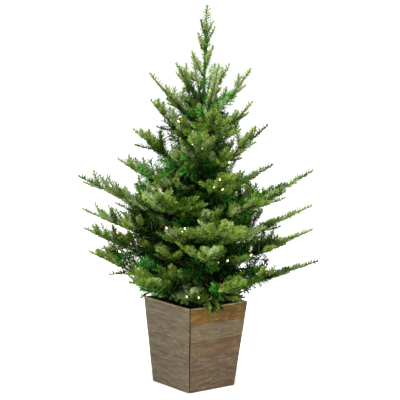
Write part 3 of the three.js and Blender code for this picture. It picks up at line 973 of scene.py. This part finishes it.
def fill_bough(bough, root, owner, seed):
    """Twigs all round the inner part of the bough, most of them tinsel, and more sprays between the others"""
    stem_length = bough["reach"] - root
    level = bough["whorl"]["level"]
    shown = EMERALD_SHOWS.get(owner + str(bough["index"]), 0)
    deep = shown or (0.36 if bough["index"] >= BETWEEN else 0.6 if level < 3 else 0.46)
    shallow = 0.42 if sideways(bough) > 0.6 else 0
    thick = level < THIN_LEVEL or shown
    spacing = 12 if level < 2 else 17 if thick else 34
    count = round(stem_length * max(deep, 0.5) / spacing)
    for index in range(count):
        share = blend(0.02, deep, (index + chance(seed, index, 70)) / count)
        roll = index * SHOOT_TURN + chance(seed, index, 71)
        angle = blend(math.radians(62), math.radians(44), share)
        length = blend(56, 86, chance(seed, index, 72))
        start, out = twig_from_bough(bough, root, share, roll, angle)
        out, length = gathered(bough, root, share, out, length)
        length = fitted_length(bough, start, out, length, 10, 24)
        if length:
            pick = chance(seed, index, 73)
            # Near the trunk and low down the tinsel takes the near-black look, painted shade
            inner = level < 6 and pick < 0.9 - 2.2 * max(share, shallow * 0.7) - 0.1 * level
            look = SHADED_TINSEL if inner else EMERALD if pick < (1 if shown else 0.4) else DEEP
            needle = 1 if thick else 0.6
            line = twig_line(start, out, length * needle)
            if share > 0.42 and not shown:
                look = DARK if pick > 0.4 else OLIVE
                add_shoot(owner, line, "moulded", look, seed * 3 + index, width=0.8, needle=0.9)
            else:
                add_shoot(owner, line, "tinsel", look, seed * 3 + index, needle=needle)
    count = round(stem_length * 0.5 / FILL_SPACING[level])
    for index in range(count):
        share = blend(0.1, 0.6, (index + chance(seed, index, 74)) / count)
        tilt = 1.2 * (chance(seed, index, 75) - 0.4)
        roll = math.pi - tilt if index % 2 else tilt
        length = blend(84, 128, chance(seed, index, 76)) * (1 - 0.4 * share)
        start, out = twig_from_bough(bough, root, share, roll, math.radians(48))
        out, length = gathered(bough, root, share, out + UP * 0.15, length)
        length = fitted_length(bough, start, out, length, 20)
        if length and not hides_pole(start, out, length):
            spray_seed = seed * 5 + index
            look = facing_look(moulded_look(spray_seed, max(share, shallow), level), bough, spray_seed)
            grow_spray(owner, start, out, length, spray_seed, look, rise=upsweep(bough))


def boughs_between(whorl):
    """Shorter boughs in the gaps between the whorl's own, on the same rising line"""
    made = []
    for bough in whorl["made"]:
        first, second, third = (chance(whorl["seed"], bough["index"], use) for use in (95, 96, 97))
        share = 0.5 + 0.16 * first
        made.append({
            "whorl": whorl,
            "index": bough["index"] + BETWEEN,
            "bearing": bough["bearing"] + bough["left"] * (0.9 + 0.2 * second),
            "reach": bough["reach"] * share,
            "gain": bough["gain"] * share ** RISE_POWER * (1 + 0.25 * third),
            "right": bough["left"],
            "left": bough["left"],
        })
    return made


def fill_trunk():
    """Tinsel and short sprays that stand out of the pole between the whorls"""
    lowest, highest, count = 300, 850, 62
    for index in range(count):
        z = blend(lowest, highest, index / (count - 1))
        owner = [whorl["name"] for whorl in WHORLS if whorl["height"] <= z + 5][-1]
        upward = (z - lowest) / 685
        rise = math.radians(blend(22, 52, upward) + 16 * (chance(index, 1, 90) - 0.5))
        out = swung(towards(index * SHOOT_TURN + chance(index, 2, 90)), UP, rise)
        length = blend(120, 66, upward) * (0.75 + 0.5 * chance(index, 3, 90))
        seed = 900 + index
        if z < RIM + 60:
            out = (out + UP * 0.25).normalized()
        # Below the middle of the crown the pole's tinsel is near-black and more sprays take the shaded look:
        # painted shade
        if index % 3 == 0:
            look = SHADED_TINSEL if z < 640 else DEEP
            add_shoot(owner, twig_line(trunk_point(z), out, length), "tinsel", look, seed)
        else:
            look = moulded_look(seed, blend(0.2, 0.55, (z - lowest) / (highest - lowest)), 2)
            grow_spray(owner, trunk_point(z), out, length, seed, look)


def rim_distance(flat, inset=0):
    """How far the rim is from its middle in a level direction"""
    return (RIM_WIDTH / 2 - inset) / max(abs(flat.x), abs(flat.y))


def cover_fill():
    """Low shoots out to the rim that hide the weighting, some of them just over it"""
    for index in range(RIM_COUNTS["cover"]):
        rise = math.radians(-4 + 12 * chance(index, 4, 90))
        flat = towards(index * SHOOT_TURN)
        edge = rim_distance(flat, WALL)
        out = swung(flat, UP, rise)
        start = trunk_point(RIM + 8 + 10 * chance(index, 5, 90))
        length = edge * blend(0.66, 0.9, chance(index, 6, 90))
        if index % 3:
            add_shoot("rim", twig_line(start, out, length), "tinsel", DEEP, 1100 + index, needle=0.75)
        else:
            out = (out + UP * 0.07).normalized()
            grow_spray("rim", start, out, length + 18, 1100 + index, moulded_look(1100 + index, 0.5))


def rim_sprays():
    """Low sprays that spread to the rim all round, some that rise inside it, and shoots over its edge"""
    low, rising = RIM_COUNTS["low"], RIM_COUNTS["rising"]
    for index in range(low):
        flat = towards(TURN * (index + 0.6 * chance(index, 1, 98)) / low)
        edge = rim_distance(flat)
        foot = trunk_point(RIM + blend(24, 44, chance(index, 2, 98)))
        length = edge * blend(0.82, 1.0, chance(index, 3, 98))
        out = (flat * length + UP * (RIM + 13 - foot.z)).normalized()
        grow_spray("rim", foot, out, length, 1300 + index, moulded_look(1300 + index, 0.8))
    for index in range(rising):
        flat = towards(TURN * (index + 0.6 * chance(index, 4, 98)) / rising)
        edge = rim_distance(flat)
        start = trunk_point(RIM + 16)
        foot = trunk_point(RIM + blend(12, 20, chance(index, 5, 98))) + flat * edge * 0.45
        line = twig_line(start, (foot - start).normalized(), edge * 0.45)
        # The rising tinsel inside the rim is near-black, painted shade
        add_shoot("rim", line, "tinsel", SHADED_TINSEL, 1500 + index, needle=0.7)
        out = swung(flat, UP, math.radians(blend(18, 44, chance(index, 6, 98))))
        length = blend(70, 100, chance(index, 7, 98))
        grow_spray("rim", foot, out, length, 1500 + index, (PALE, FRESH, OLIVE)[index % 3])
    for index, bearing in enumerate(OVERHANGS):
        flat = towards(math.radians(bearing))
        edge = rim_distance(flat)
        steps = ((0, 42), (0.3, 36), (0.6, 26), (0.85, 17), (1.02, 7), (1.14, -7))
        line = [trunk_point(RIM + rise) + flat * edge * share for share, rise in steps]
        kind, look = ("tinsel", DEEP) if index % 2 else ("moulded", OLIVE)
        add_shoot("rim", line, kind, look, 1400 + index, needle=0.8)


def rim_fans():
    """Fans of fingers that rise just inside the rim and face outwards"""
    for index, (bearing, distance, rise, look) in enumerate(RIM_FANS):
        flat = towards(math.radians(bearing))
        start = trunk_point(RIM + 34)
        foot = trunk_point(RIM + rise) + flat * distance
        stem = foot - start
        line = twig_line(start, stem.normalized(), stem.length)
        add_shoot("rim", line, "moulded", DARK, 1700 + index, dense=0.6)
        for finger in range(RIM_COUNTS["fingers"]):
            spread = math.radians(-81 + 27 * finger + 12 * (chance(index, finger, 99) - 0.5))
            out = flat.cross(UP) * math.sin(spread) + UP * (0.14 + 0.8 * math.cos(spread)) + flat * 0.28
            seed = 1720 + index * 10 + finger
            own = DARKER_MOULDED[look] if chance(seed, 1, 99) < 0.15 else look
            line = twig_line(foot, out.normalized(), blend(50, 68, chance(seed, 2, 99)), 5)
            add_shoot("rim", line, "moulded", own, seed, width=0.8, needle=1.12, bare=0.1, dense=1.8)


for whorl in WHORLS:
    for bough in whorl["made"] + (boughs_between(whorl) if whorl["level"] < THIN_LEVEL else []):
        grow_bough(bough)
fill_trunk()
cover_fill()
rim_sprays()
rim_fans()


def grow_leader():
    """The stem above the pole with its shoots, and the emerald tinsel that shows along the pole's top"""
    seed = LEADER["seed"]
    bare = [trunk_point(blend(TRUNK["top"] + 0.3, 1084, step / 12)) for step in range(13)]
    add_shoot("leader", bare, "moulded", DARK, seed + 60, width=1.3, dense=0.22)
    stem = [trunk_point(blend(1080, TREE_TOP - 2, step / 12)) for step in range(13)]
    add_shoot("leader", stem, "moulded", FRESH, seed, width=1.3, dense=1.5)
    bright = [trunk_point(blend(880, 1140, step / 20)) for step in range(21)]
    add_shoot("leader", bright, "tinsel", EMERALD, seed + 50, width=2.2, needle=0.3, dense=6)
    for index in range(LEADER["shoots"]):
        start = trunk_point(LEADER["lowest"] + index * LEADER["spacing"])
        length = blend(LEADER["longest"], LEADER["shortest"], index / (LEADER["shoots"] - 1))
        out = towards(FIRST_SHOOT_BEARING + index * SHOOT_TURN) * math.sin(SHOOT_ANGLE)
        out.z = math.cos(SHOOT_ANGLE)
        look = (OLIVE, OLIVE, DARK)[index % 3]
        add_shoot("leader", twig_line(start, out, length), "moulded", look, seed + 1 + index, 1, 0.95, 0.05)
    out = swung(UP, towards(0.03), SHOOT_ANGLE)
    add_shoot("leader", twig_line(trunk_point(1130), out, 46), "moulded", OLIVE, seed + 9, needle=0.9)


grow_leader()


# Needles


def along(values, shares):
    """The values between a line's points, at shares of its length"""
    place = shares * (len(values) - 1)
    low = np.minimum(place.astype(int), len(values) - 2)
    part = (place - low)[:, None]
    return values[low] * (1 - part) + values[low + 1] * part


def unit(vectors):
    return vectors / np.maximum(np.linalg.norm(vectors, axis=1, keepdims=True), 1e-9)


def blades(count):
    """Two triangles for each needle, folded along the line from its foot to its tip"""
    return (np.arange(count)[:, None, None] * 4 + np.array([[0, 1, 2], [0, 2, 3]])).reshape(-1, 3)


def moulded_needles(shoot, length, random):
    """Blunt, slightly twisted needles in rows: short ones close to the shoot, long ones that stand out.
    pick says how readily each turns dark, as painted shade: more at the shoot's foot and below, and for the
    short ones. Near the tip it turns dark less and light more readily, as painted light"""
    count = int(length * MOULDED["per_mm"] * shoot["dense"])
    rows = max(2, round(length / MOULDED["row"]))
    row = np.floor(np.arange(count) * rows / count) + 0.6 + random.normal(0, 0.05, count)
    shares = np.clip(shoot["bare"] + (1 - shoot["bare"]) * row / rows, 0, 1)
    points = along(shoot["line"], shares)
    ahead, side, up = (along(part, shares) for part in line_frames(shoot["line"]))
    rolls = np.radians(np.array(MOULDED["rolls"])[random.integers(0, len(MOULDED["rolls"]), count)])
    rolls += np.radians(random.normal(0, 9, count))
    radial = swung_each(side, up, rolls)
    topness = np.maximum(0, np.sin(rolls))
    tipward = np.clip((1 - shares) * length / 14, 0, 1)
    long = np.arange(count) % 3 > 0
    angle = np.where(long, 18 + 44 * tipward, 14 + 24 * tipward)
    angle *= 1 - 0.8 * random.random(count) * (1 - tipward)
    angle = np.radians(angle - 6 * topness + random.normal(0, 4, count))
    heading = swung_each(ahead, radial, angle)
    size = MOULDED["length"] * shoot["needle"] * (0.88 + 0.24 * random.random(count))
    size = (size * (0.74 + 0.26 * tipward) * np.where(long, 1, 0.62))[:, None]
    across = unit(np.cross(heading, radial) + 0.35 * random.normal(0, 1, (count, 1)) * radial)
    across *= (MOULDED["width"] / 2 * np.where(long, 1, 1.3))[:, None]
    twist = unit(np.cross(across, heading)) * MOULDED["width"] * 0.25
    foot = points + radial * 0.7
    tip = foot + heading * size + up * size * 0.12
    end = across * 0.8 + twist
    corners = [foot - across * 0.7, tip - end, tip + end, foot + across * 0.7]
    # Painted shade on the lower needles, the short ones and those near the shoot's foot, and painted light
    # near its tip, on top of a random tone
    pick = 0.6 * random.random(count) + 0.24 * (np.sin(rolls) < 0.25) + np.where(long, 0, 0.16)
    pick += 0.34 * np.clip(1 - shares / 0.4, 0, 1) - 0.07 * np.clip(shares / 0.3 - 1.7, 0, 1)
    return np.stack(corners, 1).reshape(-1, 3), pick


def tinsel_needles(shoot, length, random):
    """Cut strips that stand out all round the wire and curl a little"""
    count = int(length * TINSEL["per_mm"] * shoot["dense"])
    shares = (np.arange(count) + random.random(count)) / count
    points = along(shoot["line"], shares)
    ahead, side, up = (along(part, shares) for part in line_frames(shoot["line"]))
    radial = swung_each(side, up, random.random(count) * TURN)
    angle = np.radians(66 - 22 * shares + random.normal(0, 8, count))
    heading = swung_each(ahead, radial, angle)
    tipward = np.clip((1 - shares) * length / 22, 0, 1)
    size = TINSEL["length"] * shoot["needle"] * (0.78 + 0.34 * random.random(count))
    size = (size * (0.6 + 0.4 * tipward))[:, None]
    spin = unit(np.cross(heading, radial) + random.normal(0, 1, (count, 1)) * radial)
    across = spin * TINSEL["width"] / 2
    curl = unit(random.normal(0, 1, (count, 3))) * size * 0.08
    tip = points + heading * size + curl
    end = across * 0.5 + curl * 0.4
    corners = [points - across, tip - end, tip + end, points + across]
    return np.stack(corners, 1).reshape(-1, 3), random.random(count)


# Needles whose pick lies past these take another look than their shoot's own; for moulded needles the pick
# carries painted shade and painted light
DARKEST_FROM = 0.94
DARKER_FROM = 0.62
LIGHTER_BELOW = 0.06

# Needles, darker looks, the name of the joined pieces and their materials for each kind of shoot
KINDS = {
    "moulded": (moulded_needles, DARKER_MOULDED, "sprays_", MOULDED_LOOKS),
    "tinsel": (tinsel_needles, DARKER_TINSEL, "tinsel_", TINSEL_LOOKS),
    "twigs": (None, None, "twigs_", [wire_look, twig_look, bud_look]),
}


def dress_shoots():
    """Needles and a twig for each shoot, joined by whorl and kind. The pole's dense tinsel is all bright"""
    heaps = {}
    for shoot in shoots:
        line = shoot["line"]
        length = np.linalg.norm(np.diff(line, axis=0), axis=1).sum()
        random = np.random.default_rng(int(shoot["seed"]) % 1000003 + 11)
        kind = shoot["kind"]
        needles, darker = KINDS[kind][:2]
        points, pick = needles(shoot, length, random)
        own, dark = shoot["look"], darker[shoot["look"]]
        looks = np.where(pick > DARKEST_FROM, darker[dark], np.where(pick > DARKER_FROM, dark, own))
        if kind == "moulded":
            looks = np.where(pick < LIGHTER_BELOW, LIGHTER_MOULDED[own], looks)
        elif shoot["dense"] > 3:
            looks = np.full(len(pick), own)
        heaps.setdefault((kind, shoot["owner"]), Heap()).add(points, blades(len(pick)), np.repeat(looks, 2))
        shares = np.linspace(0, 1, len(line))
        twigs = heaps.setdefault(("twigs", shoot["owner"]), Heap())
        if kind == "moulded":
            ahead = unit(line[-1:] - line[-2:-1])
            bud = line[-1:] + ahead * np.array([[0.1], [1.3], [2.6]])
            radii = np.concatenate([blend(1.5, 0.9, shares[::2]) * shoot["width"], [1.1, 1.2, 0.3]])
            points, faces = tube(np.concatenate([line[::2], bud]), radii, 4)
            twigs.add(points, faces, np.where(faces.max(1) < (len(radii) - 3) * 4, TWIG, BUD))
        else:
            twigs.add(*tube(line[::2], blend(1.5, 1.0, shares[::2]) * shoot["width"], 4), WIRE)
    for (kind, owner), heap in sorted(heaps.items()):
        made = heap.piece(KINDS[kind][2] + owner, KINDS[kind][3])
        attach(made, "root")
        members = [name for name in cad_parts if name.rstrip("0123456789") == "foliage_" + owner]
        if members:
            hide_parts(*members)


dress_shoots()


def taped_limb(line, radii, turns):
    """A wire with tape wound round it, whose laps stand out as a low spiral"""
    sides = 10
    shares = np.linspace(0, 1, len(line))
    angles = np.arange(sides) / sides
    lap = (shares[:, None] * turns + angles) % 1
    return tube(line, np.asarray(radii)[:, None] * (0.9 + 0.16 * (1 - lap) ** 2), sides)


def main_boughs():
    """The wired boughs: bare and taped near the trunk in the two lowest whorls, thinner under the needles"""
    for whorl in WHORLS:
        bare = Heap()
        stems = Heap()
        for bough in whorl["made"]:
            foot = trunk_radius(whorl["height"]) - 2
            limb = whorl["limb"]
            if limb:
                rings = [bough_point(bough, blend(foot, limb, step / 40)) for step in range(41)]
                bare.add(*taped_limb(np.array(rings), np.linspace(4.0, 3.0, 41), 7))
            root = limb + 0.3 if limb else foot
            tip = bough["reach"] * 0.86
            steps = int((tip - root) / 4)
            rings = [bough_point(bough, blend(root, tip, step / steps)) for step in range(steps + 1)]
            stems.add(*taped_limb(np.array(rings), np.linspace(2.7, 1.2, steps + 1), steps / 4))
        nodes = sorted(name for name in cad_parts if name.startswith("bough_" + whorl["name"]))
        if nodes:
            limbs = bare.piece("limbs_" + whorl["name"], [wire_look], True)
            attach(limbs, "root")
            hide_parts(*nodes)
        wires = stems.piece("stems_" + whorl["name"], [wire_look], True)
        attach(wires, "root")


main_boughs()


# Mini lights

# Bearing, height and distance from the trunk of the lights that face the front corner
FRONT_LIGHTS = [
    (306, 1088, 11), (303, 962, 55), (0, 956, 64), (282, 883, 89), (220, 857, 106), (255, 846, 105),
    (180, 937, 79), (317, 815, 121), (271, 780, 128), (260, 804, 120), (307, 747, 145), (284, 667, 171),
    (293, 658, 176), (283, 712, 154), (0, 646, 236), (263, 559, 244), (243, 550, 250), (256, 533, 251),
    (206, 517, 276), (210, 454, 291), (215, 409, 266), (321, 479, 280), (288, 426, 260), (296, 445, 273),
    (237, 352, 225), (261, 313, 172), (273, 315, 176), (316, 347, 227),
]

# The string's green wire
LEAD_RADIUS = 0.85


def open_cylinder(radius, depth, height):
    """A cylinder in edit mode, with its top face selected"""
    deselect()
    bpy.ops.mesh.primitive_cylinder_add(
        vertices=8, radius=radius * MM, depth=depth * MM, location=(0, 0, height * MM))
    made = bpy.context.object
    bpy.ops.object.transform_apply(location=True)
    bpy.ops.object.mode_set(mode="EDIT")
    bpy.ops.mesh.select_all(action="DESELECT")
    bpy.ops.mesh.select_mode(type="FACE")
    shape = bmesh.from_edit_mesh(made.data)
    for face in shape.faces:
        face.select = face.normal.z > 0.9
    bmesh.update_edit_mesh(made.data)
    return made


def raise_face(rise):
    bpy.ops.mesh.extrude_region_move(TRANSFORM_OT_translate={"value": (0, 0, rise * MM)})


def bulb_shape():
    """One bulb and its holder, upright at the origin, modelled once and copied into the joined piece.
    Their triangles are sorted, because extruding gives the faces in another order in each run"""
    bulb = open_cylinder(2.1, 5, 18)
    for rise, size in ((2.4, 0.78), (1.8, 0.5)):
        raise_face(rise)
        bpy.ops.transform.resize(value=(size, size, 1), center_override=(0, 0, 0))
    bpy.ops.object.mode_set(mode="OBJECT")
    holder = open_cylinder(2.7, 13, 8.5)
    bpy.ops.transform.resize(value=(1.4, 1.4, 1), center_override=(0, 0, 15 * MM))
    raise_face(2)
    bpy.ops.mesh.inset(thickness=0.8 * MM)
    raise_face(-1.5)
    bpy.ops.object.mode_set(mode="OBJECT")
    shapes = []
    for part in (bulb, holder):
        part.data.calc_loop_triangles()
        points = np.array([tuple(vertex.co / MM) for vertex in part.data.vertices])
        faces = np.array(sorted(tuple(triangle.vertices) for triangle in part.data.loop_triangles))
        shapes.append((points, faces))
        bpy.data.objects.remove(part)
    return shapes


def turn_to(direction):
    """The turn from upright to a direction"""
    return np.array(UP.rotation_difference(Vector(direction)).to_matrix())


def light_places():
    """Where each light stands on a shoot: the front ones where they show, the others spread over the back"""
    feet = np.concatenate([shoot["line"][1:-1] for shoot in shoots])
    owner = np.concatenate([np.full(len(shoot["line"]) - 2, index) for index, shoot in enumerate(shoots)])
    step = np.concatenate([np.arange(1, len(shoot["line"]) - 1) for shoot in shoots])
    targets = [(math.radians(bearing), z, distance) for bearing, z, distance in FRONT_LIGHTS]
    for whorl in WHORLS:
        for bough in whorl["made"]:
            if math.sin(bough["bearing"]) < 0.1 or whorl["level"] >= THIN_LEVEL:
                continue
            for share in (0.42, 0.72):
                point = bough_point(bough, bough["reach"] * share)
                bearing = bough["bearing"] + (0.3 if share < 0.6 else 0)
                targets.append((bearing, point.z + 20, bough["reach"] * share))
    places = []
    for bearing, z, distance in targets:
        out = towards(bearing)
        aim = (out * 0.75 + UP * 0.66).normalized()
        foot = trunk_point(z) + out * distance - aim * 20
        gap = feet - np.array(foot)
        inward = gap @ np.array(out)
        across = np.linalg.norm(gap - inward[:, None] * np.array(out), axis=1)
        best = int(np.argmin(across ** 2 + (0.3 * (inward - 12)) ** 2))
        places.append((feet[best], np.array(aim), shoots[owner[best]], int(step[best])))
    return places


def travelled(line):
    """The length of a line up to each of its points"""
    return np.concatenate([[0], np.cumsum(np.linalg.norm(np.diff(line, axis=0), axis=1))])


def wire(line):
    return tube(line, np.full(len(line), LEAD_RADIUS), 4)


def eased_lead(line):
    """A wire through the given points, eased into even steps"""
    length = travelled(line)
    keep = np.concatenate([[True], np.diff(length) > 0.5])
    line, length = line[keep], length[keep]
    steps = max(3, int(length[-1] / 5))
    even = np.linspace(0, length[-1], steps + 1)
    smooth_line = np.stack([np.interp(even, length, line[:, axis]) for axis in range(3)], 1)
    smooth_line[1:-1] = (smooth_line[:-2] + smooth_line[1:-1] * 2 + smooth_line[2:]) / 4
    return wire(smooth_line)


def wound_lead(points, radius, pitch, start):
    """A wire wound round a line of points"""
    line = np.array([tuple(point) for point in points], float)
    _, side, up = line_frames(line)
    angle = start + travelled(line) / pitch * TURN
    return wire(line + swung_each(side, up, angle) * radius)


def mini_lights():
    """Bulbs in their holders, each with its wire back along the twigs, and two strands on boughs and pole"""
    bulb, holder = bulb_shape()
    bulbs = Heap()
    holders = Heap()
    leads = Heap()
    for foot, aim, shoot, step in light_places():
        foot = foot + aim * 1.5
        turn = turn_to(aim)
        bulbs.add(bulb[0] @ turn.T + foot, bulb[1])
        holders.add(holder[0] @ turn.T + foot, holder[1])
        back = np.concatenate([shoot["line"][step::-1], shoot["route"]])
        below = np.array([0, 0, -2.0])
        route = np.concatenate([[foot + aim * 2, foot + aim * 1.0 + below * 0.5], back[1:] + below])
        if len(route) > 3:
            leads.add(*eased_lead(route))
    for whorl in WHORLS:
        for bough in whorl["made"]:
            root = trunk_radius(whorl["height"]) + 3
            tip = bough["reach"] * 0.8
            steps = int((tip - root) / 3)
            points = [bough_point(bough, blend(root, tip, step / steps)) for step in range(steps + 1)]
            first = chance(whorl["seed"], bough["index"], 91)
            for strand in (0, 0.5):
                leads.add(*wound_lead(points, 3.4, 46, TURN * (strand + first)))
    pole = [trunk_point(z) for z in np.arange(RIM - 30, 960, 4)]
    radii = np.array([trunk_radius(point.z) + LEAD_RADIUS + 0.4 for point in pole])
    for strand in (0, 0.45):
        leads.add(*wound_lead(pole, radii[:, None], 85, TURN * strand))
    pieces = {"bulbs": (bulbs, lamp_look), "holders": (holders, holder_look), "leads": (leads, lead_look)}
    for name, (heap, look) in pieces.items():
        made = heap.piece("light_" + name, [look], True)
        smooth(made, 35)
        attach(made, "root")


mini_lights()


# Studio, in metres

# Softboxes: place to the right, away from the camera and up, then width and power
SOFTBOXES = {
    "key": (-0.2, -2.2, 3.1, 1.1, 88),
    "fill": (1.8, -2.2, 1.7, 2.0, 8),
    "top": (0, 0.2, 3.0, 1.6, 72),
}
FLOOR_GLOW = 0.14
SKY_LIGHT = 1.18
LIT_HEIGHT = 0.6

# The camera's place in the same directions, how far it looks down and is rolled in radians, and its lens
CAMERA_PLACE = (0.00603, -4.6885, 1.28929)
CAMERA_PITCH = 0.145
CAMERA_ROLL = 0.026
CAMERA_LENS = 132.75

TO_RIGHT = towards(0)
AWAY = towards(TURN / 4)


def studio():
    """A pale floor, an even white surround and three soft lights"""
    deselect()
    bpy.ops.mesh.primitive_circle_add(vertices=96, radius=6, fill_type="NGON", location=(0, 0, 0))
    floor = bpy.context.object
    floor.name = "studio_floor"
    shader = floor_look.node_tree.nodes["Principled BSDF"]
    shader.inputs["Emission Color"].default_value = (1, 1, 1, 1)
    shader.inputs["Emission Strength"].default_value = FLOOR_GLOW
    floor.data.materials.append(floor_look)
    world = bpy.data.worlds.new("studio")
    bpy.context.scene.world = world
    world.use_nodes = True
    world.node_tree.nodes["Background"].inputs["Color"].default_value = (1, 1, 1, 1)
    world.node_tree.nodes["Background"].inputs["Strength"].default_value = SKY_LIGHT
    for name, (right, away, height, width, power) in SOFTBOXES.items():
        data = bpy.data.lights.new(name, "AREA")
        data.shape = "DISK"
        data.size = width
        data.energy = power
        lamp = bpy.data.objects.new(name, data)
        lamp.location = TO_RIGHT * right + AWAY * away + UP * height
        lamp.rotation_euler = (UP * LIT_HEIGHT - lamp.location).to_track_quat("-Z", "Y").to_euler()
        bpy.context.scene.collection.objects.link(lamp)
    bpy.context.scene.view_settings.view_transform = "Standard"


def camera():
    """At the photo's viewing angle: 4.7 m in front of the trunk, looking 8 degrees down, rolled by 1.5"""
    ahead = swung(AWAY, -UP, CAMERA_PITCH)
    over = swung(UP, AWAY, CAMERA_PITCH)
    side = swung(TO_RIGHT, over, CAMERA_ROLL)
    top = swung(over, -TO_RIGHT, CAMERA_ROLL)
    right, away, height = CAMERA_PLACE
    place = TO_RIGHT * right + AWAY * away + UP * height
    data = bpy.data.cameras.new("camera")
    data.sensor_width = 36
    data.lens = CAMERA_LENS
    made = bpy.data.objects.new("camera", data)
    made.matrix_world = Matrix((
        (side.x, top.x, -ahead.x, place.x),
        (side.y, top.y, -ahead.y, place.y),
        (side.z, top.z, -ahead.z, place.z),
        (0, 0, 0, 1),
    ))
    bpy.context.scene.collection.objects.link(made)
    bpy.context.scene.camera = made


studio()
camera()
